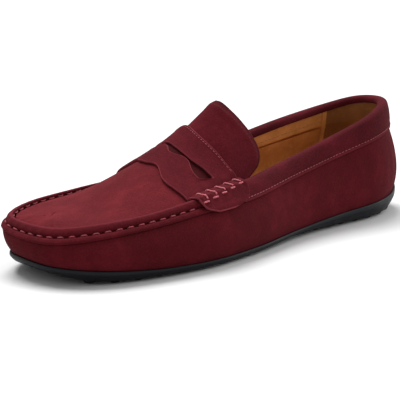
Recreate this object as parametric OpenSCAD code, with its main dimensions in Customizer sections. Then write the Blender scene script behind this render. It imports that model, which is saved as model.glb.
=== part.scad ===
// Driving-style penny loafer, left foot: suede upper on a pebbled rubber sole.
// Frame: toe towards -X, lateral side towards -Y, +Z up, tread on Z = 0.
// The whole shoe hangs on one table of stations round its outline. The parameter t
// runs 0 at the back of the heel, 1 at the toe tip, 2 at the back of the heel again:
// 0 to 1 is the lateral side and 1 to 2 the medial side.

/* [Shoe size] */
// Length of the lasted outline, toe tip to back of heel
last_length = 278; // [250:1:306]
// Width of the lasted outline across the ball
last_width = 93; // [84:1:102]
// Height of the collar at the back of the heel
heel_height = 73; // [66:1:80]

/* [Leather and foam] */
// Suede of the side wall, apron and tongue
suede = 1.4; // [1:0.1:1.8]
// Suede of the penny strap
strap_suede = 1.8; // [1.4:0.1:2.2]
// Folded suede of the collar
collar_suede = 1.2; // [1:0.1:1.4]
// Lining leather
lining = 0.9; // [0.7:0.1:1]
// Footbed foam
foam = 3; // [2:0.5:4]

/* [Tread] */
// Height of the rubber pebbles under the sole
pebble_h = 1.3; // [1:0.1:2.2]
// Diameter of a pebble
pebble_d = 7.2; // [6:0.2:8]
// Distance between pebbles
pebble_pitch = 12; // [11:0.5:14]

/* [Stitching] */
// Length of one apron stitch from hole to hole
apron_pitch = 8.4; // [6:0.2:10]
// Thickness of the hand-sewing thread
thread_d = 1.1; // [0.8:0.1:1.4]
// Whip stitches on each side of the strap
whip_count = 5; // [4:1:6]

/* [Hidden] */

oxblood = "#6b1f2a";
oxblood_thread = "#a8323f";
tan_leather = "#c08a4e";
black_rubber = "#1d1f21";
grey_board = "#8d8579";
pale_foam = "#d9d2c0";

// Scale of the station table, which is drawn at last_length 278, width 93, height 73.
size_scale = [last_length / 278, last_width / 93, heel_height / 73];
// Brings the origin to the middle of the finished shoe's box.
centre_shift = [-1.4 * size_scale.x, 3.3 * size_scale.y];

// Stations round the outline, ten a side. Columns:
// x, y: lasted outline, where the upper meets the sole; seat: height of the lasted bottom;
// rim: height of the sole's rim; under: how far the sole's bottom edge is tucked in;
// bulge: how far the wall swells outwards; crease_in, crease_z: the fold line under the apron
// ridge, which runs on as the lower edge of the collar; top_in, top_z: ridge crest and topline.
STATIONS = [
    [   138,     0,   10,   21,   7, 4.5,    2,   56, 4.5,   73],
    [   130,   -20,   10, 13.5,   4, 4.5,    2, 55.5, 4.5, 72.5],
    [   105,   -32,  9.5, 10.5, 2.5,   4,    2, 51.5,   5, 66.5],
    [    67,   -33,  7.5,    8,   2,   4,  2.5,   44,   7,   56],
    [    30,   -36,    5,  5.5, 1.5, 4.5,  2.5, 37.5,   8,   48],
    [   -10, -45.5,    4,  4.5, 0.5,   5,    3,   33,   9,   43],
    [   -48, -50.5,    4,  4.5, 0.5,   5,    3, 31.5,   9, 39.5],
    [   -84, -46.5,    5,  5.5,   1, 4.5,    2,   28,   8,   35],
    [  -114,   -36,  7.5,    8, 1.5,   4,  0.5,   25, 6.5, 32.5],
    [  -132,   -17,  9.5,   10, 2.5, 2.5, -1.5, 22.5,   5, 30.5],
    [  -136,     8,   11, 11.5,   3, 1.5,   -4, 23.5,   2,   31],
    [-131.5,    25, 10.5,   11, 2.5, 1.5,   -5,   26, 0.5,   33],
    [  -113,  38.5,    8,  8.5,   2,   3,   -1,   28, 4.5,   35],
    [   -80,    44,  5.5,    6, 1.5, 4.5,  2.5,   30,   8,   37],
    [   -46,    42,  4.5,    5, 1.5,   5,  3.5,   32,   9,   40],
    [   -10,    33,    5,  5.5, 1.5,   5,    4,   37,   9, 48.5],
    [    30,    28,    6,  6.5, 1.5, 4.5,    3,   43,   8,   57],
    [    67,    29,    8,  8.5,   2,   4,  2.5,   47,   7, 62.5],
    [   105,    29,  9.5,   11, 2.5,   4,    2,   51,   5, 66.5],
    [   130,    19,   10,   15,   4, 4.5,    2, 54.5, 4.5,   71]];
X = 0; Y = 1; SEAT = 2; RIM = 3; UNDER = 4; BULGE = 5; CREASE_IN = 6; CREASE_Z = 7; TOP_IN = 8; TOP_Z = 9;

// Ridge line of the instep, side view: x and height.
INSTEP = [[-132, 31.5], [-118, 32.5], [-105, 34.5], [-92, 38], [-78, 44], [-63, 50.5], [-48, 57],
    [-35, 63.5], [-22, 72], [-10, 80.5], [2, 87.5], [14, 93], [26, 97.5]];

// Ridge and lap: heights as shares of the way from crease to top, with outward offsets.
ridge_lip = [0.22, 1.1];
ridge_groove = [0.42, 0.1];
ridge_band = [0.75, 0.9];
ridge_foot = [-1.9, -1.9]; // inwards and down from the crest, where the apron starts
lap_share = 0.6;           // the wall runs this far up under the collar
toe_fold = 24;             // the apron's centre line starts this far behind the ridge

// Stretches of the outline, as distances in t from the toe tip (1).
throat = 0.475;     // ridge ends, collar starts, under the strap's side flaps
tongue_start = 0.45;
heel_seam = 0.182;  // lining seams each side of the heel, measured from the back
gap = 0.2;          // air between neighbouring layers

function lerp(a, b, f) = a + (b - a) * f;
function smooth(f) = let (c = min(1, max(0, f))) c * c * (3 - 2 * c);
function catmull(a, b, c, d, f) =
    b + 0.5 * f * (c - a + f * (2 * a - 5 * b + 4 * c - d + f * (3 * (b - c) + d - a)));
function wrap(i, n) = ((i % n) + n) % n;
function span(from, to, n) = [for (i = [0 : n]) lerp(from, to, i / n)];

// ---- the last: everything below is read from the station table ----
n_stations = len(STATIONS);
function station(t) =
    let (u = t * n_stations / 2, i = floor(u),
         r = catmull(STATIONS[wrap(i - 1, n_stations)], STATIONS[wrap(i, n_stations)],
                     STATIONS[wrap(i + 1, n_stations)], STATIONS[wrap(i + 2, n_stations)], u - i))
    [r[X] * size_scale.x, r[Y] * size_scale.y, r[SEAT], r[RIM], r[UNDER], r[BULGE],
     r[CREASE_IN], r[CREASE_Z] * size_scale.z, r[TOP_IN], r[TOP_Z] * size_scale.z];
function outward(t) =
    let (a = station(t - 0.02), b = station(t + 0.02), d = [b[X] - a[X], b[Y] - a[Y]])
    [-d.y, d.x] / norm(d);
// A point at station t, moved out by o and at height z.
function at(t, o, z) =
    let (s = station(t), n = outward(t))
    [s[X] + n.x * o + centre_shift.x, s[Y] + n.y * o + centre_shift.y, z];
// Wall surface as [out, height]: share v of the way from seat to crease.
function wall_oz(s, v) =
    [-s[CREASE_IN] * v + s[BULGE] * 4 * v * (1 - v) * (1.25 - 0.5 * v), lerp(s[SEAT], s[CREASE_Z], v)];
// Band above the crease as [out, height]: share w of the way to the top, h outwards, lift upwards in mm.
function band_length(s) = norm([s[TOP_IN] - s[CREASE_IN], s[TOP_Z] - s[CREASE_Z]]);
function band_oz(s, w, h) =
    let (c = [-s[CREASE_IN], s[CREASE_Z]], e = [-s[TOP_IN], s[TOP_Z]], d = (e - c) / norm(e - c))
    lerp(c, e, w) + h * [d.y, -d.x];
function pinned(t, oz) = at(t, oz[0], oz[1]);

// Height of the underside of the sole, before the pebbles.
function sole_base(x) =
    pebble_h + 5 * pow(max(0, (-93 - x) / 43), 3) + 0.8 * exp(-pow((x - 38) / 28, 2))
    + 1.5 * pow(max(0, (x - 118) / 20), 2);

// ---- the crown: apron, strap and tongue lie on it ----
// k is the distance in t from the toe tip; s is -1 at the lateral ridge, 0 on the instep line, 1 at the
// medial ridge. The instep line lies a little to the medial side.
function instep_z(x) =
    let (n = len(INSTEP), i = max([for (j = [0 : n - 2]) if (INSTEP[j][0] * size_scale.x <= x || j == 0) j]),
         a = INSTEP[i], b = INSTEP[i + 1], f = (x / size_scale.x - a[0]) / (b[0] - a[0]),
         before = INSTEP[max(0, i - 1)], after = INSTEP[min(n - 1, i + 2)])
    catmull(before[1], a[1], b[1], after[1], f) * size_scale.z;
function ridge_foot_point(t) =
    let (s = station(t)) at(t, -s[TOP_IN] + ridge_foot[0], s[TOP_Z] + ridge_foot[1]);
function centre_line(k) =
    let (mid = lerp(ridge_foot_point(1 - k), ridge_foot_point(1 + k), 0.5 + 0.1 * smooth((k - 0.1) / 0.3)),
         x = mid.x + toe_fold * pow(max(0, 1 - k / 0.25), 2))
    [x, mid.y, instep_z(x - centre_shift.x)];
// tuck moves its sides inwards and down, for the tongue, which hangs inside the collar.
function crown(k, s, tuck = [0, 0]) =
    let (t = s < 0 ? 1 - k : 1 + k, c = station(t), mid = centre_line(k),
         side = at(t, -c[TOP_IN] + ridge_foot[0] - tuck[0], c[TOP_Z] + ridge_foot[1] - tuck[1]),
         r = 1 - abs(s), arch = r * (2 - r),
         up = lerp(arch, lerp(tent(r), arch, 0.6), smooth((k - 0.1) / 0.3)))
    [lerp(side.x, mid.x, r), lerp(side.y, mid.y, r), lerp(side.z, mid.z, up)];
// A rise from 0 to 1 with straight flanks and a rounded top.
function tent(r) = 1 - (sqrt(pow(1 - r, 2) + 0.05) - sqrt(0.05)) / (sqrt(1.05) - sqrt(0.05));
function crown_normal(k, s, tuck = [0, 0]) =
    let (e = 0.01, a = crown(k, max(-1, s - 0.03), tuck), b = crown(k, min(1, s + 0.03), tuck),
         c = crown(k - e, s, tuck), d = crown(k + e, s, tuck), n = cross(d - c, b - a))
    n / norm(n) * (n.z < 0 ? -1 : 1);
// A point on the crown, lifted by h along its normal.
function on_crown(k, s, h, tuck = [0, 0]) =
    crown(k, s, tuck) + h * crown_normal(max(0.03, k), s * 0.97, tuck);

// ---- solids from grids of points ----
function total(v) = v * [for (i = v) 1];
// Faces may run either way round as long as they agree: this turns them outwards.
module solid(points, faces) {
    volume = total([for (f = faces) for (i = [1 : len(f) - 2])
        points[f[0]] * cross(points[f[i]], points[f[i + 1]])]);
    turned = [for (f = faces) [for (i = [len(f) - 1 : -1 : 0]) f[i]]];
    polyhedron(points = points, faces = volume < 0 ? faces : turned, convexity = 8);
}
function grid_faces(rows, cols, index) =
    [for (i = [0 : rows - 2]) for (j = [0 : cols - 2])
        for (f = [[index[i][j], index[i][j + 1], index[i + 1][j + 1]],
                  [index[i][j], index[i + 1][j + 1], index[i + 1][j]]])
            if (f[0] != f[1] && f[1] != f[2] && f[2] != f[0]) f];

// A sheet between a top and a bottom grid. zipped joins the first row to itself, left half to right half.
module sheet(top, bottom, zipped = false) {
    rows = len(top);
    cols = len(top[0]);
    half = (cols - 1) / 2;
    function id(i, j, layer) =
        layer * rows * cols + i * cols + (zipped && i == 0 && j > half ? cols - 1 - j : j);
    upper = [for (i = [0 : rows - 1]) [for (j = [0 : cols - 1]) id(i, j, 0)]];
    lower = [for (i = [0 : rows - 1]) [for (j = [cols - 1 : -1 : 0]) id(i, j, 1)]];
    function strip(edge_top, edge_bottom) = grid_faces(2, len(edge_top), [edge_top, edge_bottom]);
    function column(j, layer) = [for (i = [0 : rows - 1]) id(i, j, layer)];
    function row(i, layer) = [for (j = [0 : cols - 1]) id(i, j, layer)];
    solid(
        [for (layer = [top, bottom]) for (r = layer) for (p = r) p],
        concat(
            grid_faces(rows, cols, upper), grid_faces(rows, cols, lower),
            strip(column(0, 0), column(0, 1)), strip(column(cols - 1, 1), column(cols - 1, 0)),
            zipped ? [] : strip(row(0, 1), row(0, 0)), strip(row(rows - 1, 0), row(rows - 1, 1))));
}

// A closed section swept through stations: sections is a list of closed loops of points.
module sweep(sections, closed = false) {
    rows = len(sections);
    cols = len(sections[0]);
    last = closed ? rows : rows - 1;
    faces = [for (i = [0 : last - 1]) for (j = [0 : cols - 1])
        let (a = i * cols + j, b = i * cols + (j + 1) % cols, up = ((i + 1) % rows) * cols,
             c = up + (j + 1) % cols, d = up + j)
        for (f = [[a, b, c], [a, c, d]]) f];
    caps = closed ? [] : [[for (j = [cols - 1 : -1 : 0]) j], [for (j = [0 : cols - 1]) (rows - 1) * cols + j]];
    solid([for (s = sections) for (p = s) p], concat(faces, caps));
}

// Loops stacked from the middle of the top to the middle of the underside. The first and last
// loops are folded flat onto the centre line, so opposite points are one point.
module ring_stack(rings) {
    m = len(rings);
    n = len(rings[0]);
    function id(r, i) = let (j = wrap(i, n)) r * n + (r == 0 || r == m - 1 ? min(j, n - j) : j);
    // The diagonals of the underside match those of the top, so stacked plates fit together.
    faces = [for (r = [0 : m - 2]) for (i = [0 : n - 1])
        let (a = id(r, i), b = id(r + 1, i), c = id(r + 1, i + 1), d = id(r, i + 1))
        for (f = r < m / 2 ? [[a, b, c], [a, c, d]] : [[a, b, d], [b, c, d]])
            if (f[0] != f[1] && f[1] != f[2] && f[2] != f[0]) f];
    solid([for (r = rings) for (p = r) p], faces);
}

// A tube of round thread through points.
module thread(points, d, sides = 6) {
    n = len(points);
    sections = [for (i = [0 : n - 1])
        let (ahead = points[min(n - 1, i + 1)] - points[max(0, i - 1)], a = ahead / norm(ahead),
             side = cross(a, abs(a.z) > 0.9 ? [1, 0, 0] : [0, 0, 1]), u = side / norm(side), v = cross(a, u),
             r = d / 2 * (i == 0 || i == n - 1 ? 0.55 : 1))
        [for (j = [0 : sides - 1]) points[i] + r * (cos(360 * j / sides) * u + sin(360 * j / sides) * v)]];
    sweep(sections);
}

// One plain stitch: a short round bar between two points.
module stitch(a, b, d) {
    v = b - a;
    translate(a) rotate([0, acos(v.z / norm(v)), atan2(v.y, v.x)])
        cylinder(d = d, h = norm(v), $fn = 24);
}

// ---- plates of the bottom ----
margin = 10; // the upper is turned in this far under the board, and the seat is level that far
function mid_seat(t) =
    let (inner = lerp(0.2, 0.86, abs(1 - t)), a = station(1 - inner), b = station(1 + inner))
    [(a[X] + b[X]) / 2 + centre_shift.x, (a[Y] + b[Y]) / 2 + centre_shift.y, (a[SEAT] + b[SEAT]) / 2];
function seat_ring(inset, share, z, n) =
    [for (i = [0 : n - 1]) let (t = 2 * i / n, s = station(t), p = at(t, -inset, s[SEAT]), m = mid_seat(t))
        lerp(p, m, share) + [0, 0, z]];
module plate(inset, low, high, n = 48) {
    ring_stack([seat_ring(margin, 1, high, n), seat_ring(margin, 0.5, high, n), seat_ring(margin, 0, high, n),
        seat_ring(inset, 0, high, n), seat_ring(inset, 0, low, n),
        seat_ring(margin, 0, low, n), seat_ring(margin, 0.5, low, n), seat_ring(margin, 1, low, n)]);
}

board_low = suede + gap + 0.1;
board_high = board_low + 1.8;
foam_low = board_high + gap;
foam_high = foam_low + foam;
sock_low = foam_high + gap;
sock_high = sock_low + lining;
plate_inset = suede + lining + 2;

// Share v of the wall at which it reaches height z.
function wall_share(s, z) = (z - s[SEAT]) / (s[CREASE_Z] - s[SEAT]);
rim_wall = 1.7;

module outsole_body(n = 60) {
    ts = [for (i = [0 : n - 1]) 2 * i / n];
    function ring(f) = [for (t = ts) let (s = station(t)) pinned(t, f(s))];
    function low(s) = sole_base(s[X]);
    inner_top = function (s) [max(0, wall_oz(s, wall_share(s, s[RIM]))[0]) + 0.3, s[RIM]];
    outer_top = function (s) [max(0, wall_oz(s, wall_share(s, s[RIM]))[0]) + rim_wall * 0.8, s[RIM] + 0.2];
    ring_stack([
        seat_ring(margin, 1, 0, n),
        seat_ring(margin, 0.5, 0, n),
        seat_ring(margin, 0, 0, n),
        ring(function (s) [gap, s[SEAT]]),
        ring(inner_top),
        ring(outer_top),
        ring(function (s) [outer_top(s)[0] * 0.7 + 0.6, lerp(s[RIM], low(s), 0.3)]),
        ring(function (s) [rim_wall * 0.8 - s[UNDER] * 0.25, lerp(s[SEAT], low(s), 0.5)]),
        ring(function (s) [rim_wall * 0.4 - s[UNDER] * 0.65, lerp(s[SEAT], low(s), 0.88)]),
        ring(function (s) [-s[UNDER], low(s)]),
        [for (t = ts) let (p = at(t, -s_under(t), 0), m = mid_seat(t), q = lerp(p, m, 0.5))
            [q.x, q.y, sole_base(q.x - centre_shift.x)]],
        [for (t = ts) let (m = mid_seat(t)) [m.x, m.y, sole_base(m.x - centre_shift.x)]]]);
}
function s_under(t) = station(t)[UNDER];

// Rounded rubber pebble standing down from the sole.
module pebble(x, y) {
    top = sole_base(x - centre_shift.x);
    translate([x, y, top - pebble_h]) rotate(31) hull()
        cylinder(d1 = pebble_d * 0.74, d2 = pebble_d * 1.15, h = pebble_h + 1.2, $fn = 8);
}

// Half-breadths of the tread at x, inside which pebbles stand.
function side_t(x, medial) =
    let (steps = 60, ts = [for (i = [3 : steps - 3]) (medial ? 1 + i / steps : i / steps)],
         far = [for (t = ts) abs(station(t)[X] - x)], best = min(far))
    [for (i = [0 : len(ts) - 1]) if (far[i] == best) ts[i]][0];
pebble_margin = 6.5;
row_margin = 10.5;  // last row to the heel's end
toe_gap = 22.5;     // no pebbles under the lifted tip of the toe
module pebbles() {
    rows = floor((last_length - toe_gap - row_margin) / pebble_pitch);
    for (i = [0 : rows]) {
        x = -last_length / 2 + toe_gap + i * pebble_pitch;
        low = station(side_t(x, false))[Y] + pebble_margin;
        high = station(side_t(x, true))[Y] - pebble_margin;
        count = floor((high - low) / pebble_pitch);
        if (count >= 1)
            for (j = [0 : count])
                pebble(x + centre_shift.x, lerp(low, high, j / count) + centre_shift.y);
    }
}

module outsole() {
    color(black_rubber) union() {
        outsole_body();
        pebbles();
    }
}
module insole_board() { color(grey_board) plate(plate_inset, board_low, board_high); }
module footbed_foam() { color(pale_foam) plate(plate_inset, foam_low, foam_high); }
module sock_lining() { color(tan_leather) plate(plate_inset, sock_low, sock_high); }

// ---- side wall: one strip of suede from the heel round the toe and back ----
function is_ridge(t) = abs(1 - t) < throat;
function wall_section(t) =
    let (s = station(t), ridge = is_ridge(t), shares = [0.12, 0.3, 0.5, 0.72, 0.9, 1],
         top = ridge
            ? [band_oz(s, ridge_lip[0], ridge_lip[1]), band_oz(s, ridge_groove[0], ridge_groove[1]),
               band_oz(s, ridge_band[0], ridge_band[1]), band_oz(s, 1, 0.2), band_oz(s, 1, -1.2)]
            : [band_oz(s, lap_share * 0.25, 0), band_oz(s, lap_share * 0.5, 0), band_oz(s, lap_share * 0.75, 0),
               band_oz(s, lap_share, 0), band_oz(s, lap_share, -suede)],
         foot = ridge ? [band_oz(s, 0.62, -1.9), band_oz(s, 0.3, -suede)]
                      : [band_oz(s, lap_share * 0.5, -suede), band_oz(s, lap_share * 0.25, -suede)])
    [for (oz = concat(
        [[-9, s[SEAT] + gap], [-0.2, s[SEAT] + gap]],
        [for (v = shares) wall_oz(s, v)], top, foot,
        [for (v = [0.95, 0.72, 0.5, 0.3, 0.12]) wall_oz(s, v) - [suede, 0]],
        [[-suede - 0.2, s[SEAT] + suede + gap], [-9, s[SEAT] + suede + gap]])) pinned(t, oz)];
module side_wall() {
    n = 64;
    color(oxblood) sweep([for (i = [0 : n - 1]) wall_section(2 * (i + 0.5) / n)], closed = true);
}

// ---- collar: folded suede over foam, round the topline ----
function collar_profile(s, plump) =
    let (b = band_length(s), c = collar_suede,
         outer = [[-1, 1.3], [b * 0.4, 1.3 + plump], [b - 2, 1.2 + plump * 0.4], [b - 0.3, 0.2],
                  [b + 0.3, -1.8], [b - 0.3, -4.1], [b - 2, -5.4], [b - 5.5, -5.5]],
         inner = [[b - 5.5, -5.5 + c], [b - 2.4, -5.4 + c], [b - 1.3, -3.6], [b - 0.9, -1.8], [b - 1.4, -0.4],
                  [b - 2.6, 1.4 - c], [b * 0.4, 1.6 - c], [-1, 1.3 - c]])
    [for (p = concat(outer, inner)) band_oz(s, p[0] / b, p[1])];
function collar_ts(n) = span(-(1 - throat), 1 - throat, n);
// It lies flat where the strap's flaps cover its ends.
function plump(t) = 0.5 * smooth((1 - throat - abs(t)) / 0.04);
module collar_binding() {
    color(oxblood) sweep([for (t = collar_ts(52))
        [for (oz = collar_profile(station(t), plump(t))) pinned(t, oz)]]);
}
module collar_foam() {
    color(pale_foam) sweep([for (t = span(-0.5, 0.5, 36)) let (s = station(t), b = band_length(s))
        [for (p = [[b * 0.35, -1.6], [b - 4, -1.6], [b - 2.6, -1.7], [b - 2.2, -2.2], [b - 2.8, -2.7],
                   [b * 0.35, -2.7]]) pinned(t, band_oz(s, p[0] / b, p[1]))]]);
}

// ---- backstay over the heel seam ----
backstay_half = 0.045;
module backstay() {
    shares = [0.34, 0.48, 0.62, 0.76, 0.9];
    function path(s, h) = concat(
        [for (v = shares) wall_oz(s, v) + [h, 0]],
        [band_oz(s, -0.06, h + 1.3), band_oz(s, 0.15, h + 1.45), band_oz(s, 0.35, h + 1.65),
         band_oz(s, 0.52, h + 1.65)]);
    function layer(h) = [for (t = span(-backstay_half, backstay_half, 6))
        [for (oz = path(station(t), h)) pinned(t, oz)]];
    color(oxblood) sheet(layer(gap + 1.2), layer(gap));
}

// ---- stiffeners between wall and lining ----
module heel_counter() {
    function layer(d) = [for (t = span(-heel_seam + 0.01, heel_seam - 0.01, 26)) let (s = station(t))
        [for (v = [0.12, 0.3, 0.5, 0.72, 0.9, 1]) pinned(t, wall_oz(s, v) - [d, 0])]];
    color(grey_board) sheet(layer(suede + 0.3), layer(suede + 1.4));
}
module toe_puff() {
    function layer(d) = [for (t = span(0.8, 1.2, 22)) let (s = station(t))
        [for (v = [0.14, 0.3, 0.5, 0.72, 0.88]) pinned(t, wall_oz(s, v) - [d, 0])]];
    color(grey_board) sheet(layer(suede + 0.35), layer(suede + 1));
}

// ---- linings ----
function lining_depth(v, padded) = padded ? 3.1 : lerp(suede + 0.35, 3.1, smooth((v - 0.6) / 0.4));
module wall_lining_strip(from, to, n, padded) {
    shares = [0.14, 0.34, 0.55, 0.75, 0.9, 1];
    function layer(extra) = [for (t = span(from, to, n)) let (s = station(t), b = band_length(s))
        [for (oz = concat(
            [for (v = shares) wall_oz(s, v) - [lining_depth(v, padded) + extra, 0]],
            [band_oz(s, 0.3, -3.1 - extra), band_oz(s, 1 - 3 / b, -3.1 - extra)])) pinned(t, oz)]];
    sheet(layer(0), layer(lining));
}
module quarter_lining_lateral() {
    color(tan_leather) wall_lining_strip(heel_seam + 0.002, 1 - throat, 16, false);
}
module quarter_lining_medial() {
    color(tan_leather) wall_lining_strip(1 + throat, 2 - heel_seam - 0.002, 16, false);
}
module heel_lining() { color(tan_leather) wall_lining_strip(-heel_seam, heel_seam, 20, true); }
// Fabric-backed lining of the forepart wall, up to the ridge.
module wall_lining() {
    function layer(d) = [for (t = span(1 - throat + 0.003, 1 + throat - 0.003, 48)) let (s = station(t))
        [for (v = [0.16, 0.3, 0.5, 0.72, 0.9]) pinned(t, wall_oz(s, v) - [d, 0])]];
    color(tan_leather) sheet(layer(suede + 1.3), layer(suede + 1.3 + lining));
}

// ---- apron, tongue and their linings ----
function crown_grid(ks, ss, h) = [for (k = ks) [for (s = ss) on_crown(k, s, h)]];
apron_ks = concat([0, 0.02, 0.045, 0.075], span(0.11, tongue_start, 13));
crown_ss = [-1, -0.9, -0.75, -0.57, -0.38, -0.19, 0, 0.19, 0.38, 0.57, 0.75, 0.9, 1];
module apron_plug() {
    color(oxblood)
        sheet(crown_grid(apron_ks, crown_ss, 0), crown_grid(apron_ks, crown_ss, -suede), zipped = true);
}
module vamp_lining() {
    ss = [for (s = crown_ss) s * 0.94];
    ks = concat([0.045, 0.075], span(0.11, tongue_start - 0.008, 13));
    color(tan_leather) sheet(crown_grid(ks, ss, -suede - 0.4), crown_grid(ks, ss, -suede - 0.4 - lining));
}
// Rear edge of the tongue, as k against |s|: it runs back towards the sides, with rounded corners.
TONGUE_END = [[0, 0.524], [0.18, 0.529], [0.36, 0.537], [0.52, 0.548], [0.74, 0.566], [0.83, 0.572],
    [0.9, 0.571], [0.95, 0.563], [1, 0.535]];
function tongue_end(s) = along(TONGUE_END, abs(s));
tongue_tuck = [5.6, 3];
tongue_half = [0.12, 0.25, 0.38, 0.5, 0.62, 0.72, 0.8, 0.86, 0.91, 0.95, 0.98, 1];
tongue_ss = concat([for (i = [len(tongue_half) - 1 : -1 : 0]) -tongue_half[i]], [0], tongue_half);
function tongue_grid(inset, h, wide) =
    [for (f = span(0, 1, 5)) [for (s = tongue_ss) let (q = s * wide)
        on_crown(lerp(tongue_start + 0.008, tongue_end(s) - inset, f), q, h, tongue_tuck)]];
module tongue() { color(oxblood) sheet(tongue_grid(0, 0, 1), tongue_grid(0, -suede, 1)); }
module tongue_lining() {
    color(tan_leather)
        sheet(tongue_grid(0.002, -suede - gap, 0.96), tongue_grid(0.002, -suede - gap - lining, 0.96));
}

// ---- penny strap ----
// Edges across the strap, as k against |q|. |q| runs 0 at the centre, 1 at the ridge, 2 at a flap's tip.
function along(pairs, q) =
    let (n = len(pairs), i = max([for (j = [0 : n - 2]) if (pairs[j][0] <= q) j]),
         f = (q - pairs[i][0]) / (pairs[i + 1][0] - pairs[i][0]))
    catmull(pairs[max(0, i - 1)][1], pairs[i][1], pairs[i + 1][1], pairs[min(n - 1, i + 2)][1], min(1, f));
FRONT = [[0, 0.376], [0.08, 0.376], [0.2, 0.381], [0.29, 0.381], [0.4, 0.375], [0.52, 0.368], [0.64, 0.367],
    [0.76, 0.37], [0.92, 0.374], [1.05, 0.374], [1.2, 0.379], [1.35, 0.383], [1.6, 0.388], [1.85, 0.398],
    [2, 0.417]];
SLOT_FRONT = [[0, 0.427], [0.08, 0.425], [0.18, 0.418], [0.3, 0.42], [0.4, 0.426], [0.5, 0.427], [0.62, 0.421],
    [0.73, 0.419], [0.79, 0.423], [0.84, 0.44], [1.4, 0.436], [2, 0.432]];
SLOT_REAR = [[0, 0.432], [0.18, 0.43], [0.36, 0.43], [0.52, 0.432], [0.67, 0.438], [0.84, 0.444], [1.4, 0.44],
    [2, 0.437]];
REAR = [[0, 0.47], [0.26, 0.468], [0.48, 0.471], [0.66, 0.476], [0.81, 0.481], [0.92, 0.487], [1, 0.49],
    [1.25, 0.492], [1.5, 0.491], [1.7, 0.487], [1.88, 0.474], [2, 0.445]];
slot_end = 0.84;
strap_lift = 0.15;
// Path of the strap over the ridge and down outside it, as [out, height] for q from 1 to 2.
function flap_oz(s, q, h) =
    let (stops = [band_oz(s, 1.05, -2.4) + [0, h], band_oz(s, 1.07, -0.5) + [0, h],
                  band_oz(s, 0.88, 1.35 + h), band_oz(s, 0.55, 1.5 + h), band_oz(s, 0.22, 1.5 + h),
                  band_oz(s, -0.02, 1.6 + h), band_oz(s, -0.22, 1.1 + h)],
         u = (q - 1) * 6, i = min(5, floor(u)))
    lerp(stops[i], stops[i + 1], u - i);
function strap_point(k, q, h) =
    abs(q) <= 1
    ? let (f = smooth((abs(q) - 0.9) / 0.1), s = sign(q) * min(1, abs(q)), side = q < 0 ? 1 - k : 1 + k,
           a = on_crown(k, s, h), b = pinned(side, flap_oz(station(side), 1, h)))
      lerp(a, b, f)
    : let (side = q < 0 ? 1 - k : 1 + k) pinned(side, flap_oz(station(side), min(2, abs(q)), h));
half_qs = concat([0.08, 0.18, 0.29, 0.4, 0.52, 0.64, 0.74, 0.79, 0.84, 0.92], span(1, 2, 6));
strap_qs = concat([for (i = [len(half_qs) - 1 : -1 : 0]) -half_qs[i]], [0], half_qs);
// One solid with the slot left open: cells between the slot's edges are skipped.
module penny_strap() {
    n_front = 3;
    n_rear = 3;
    rows = n_front + n_rear + 2;
    cols = len(strap_qs);
    function k_at(i, q) = i <= n_front
        ? lerp(along(FRONT, abs(q)), along(SLOT_FRONT, abs(q)), i / n_front)
        : lerp(along(SLOT_REAR, abs(q)), along(REAR, abs(q)), (i - n_front - 1) / n_rear);
    function layer(h) = [for (i = [0 : rows - 1]) [for (q = strap_qs) strap_point(k_at(i, q), q, h)]];
    function filled(i, j) = i >= 0 && i < rows - 1 && j >= 0 && j < cols - 1
        && !(i == n_front && max(abs(strap_qs[j]), abs(strap_qs[j + 1])) <= slot_end);
    function up(i, j) = i * cols + j;
    function down(i, j) = rows * cols + i * cols + j;
    top = [for (i = [0 : rows - 2]) for (j = [0 : cols - 2]) if (filled(i, j))
        for (f = [[up(i, j), up(i, j + 1), up(i + 1, j + 1)], [up(i, j), up(i + 1, j + 1), up(i + 1, j)]]) f];
    base = [for (i = [0 : rows - 2]) for (j = [0 : cols - 2]) if (filled(i, j))
        for (f = [[down(i, j), down(i + 1, j + 1), down(i, j + 1)],
                  [down(i, j), down(i + 1, j), down(i + 1, j + 1)]]) f];
    function wall(a, b, c, d) = [[a, d, c], [a, c, b]];
    across = [for (i = [0 : rows - 1]) for (j = [0 : cols - 2])
        for (f = filled(i, j) && !filled(i - 1, j) ? wall(up(i, j), up(i, j + 1), down(i, j + 1), down(i, j))
            : filled(i - 1, j) && !filled(i, j) ? wall(up(i, j + 1), up(i, j), down(i, j), down(i, j + 1))
            : []) f];
    endwise = [for (i = [0 : rows - 2]) for (j = [0 : cols - 1])
        for (f = filled(i, j) && !filled(i, j - 1) ? wall(up(i + 1, j), up(i, j), down(i, j), down(i + 1, j))
            : filled(i, j - 1) && !filled(i, j) ? wall(up(i, j), up(i + 1, j), down(i + 1, j), down(i, j))
            : []) f];
    color(oxblood)
        solid([for (l = [layer(strap_lift + strap_suede), layer(strap_lift)]) for (r = l) for (p = r) p],
            concat(top, base, across, endwise));
}

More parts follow.
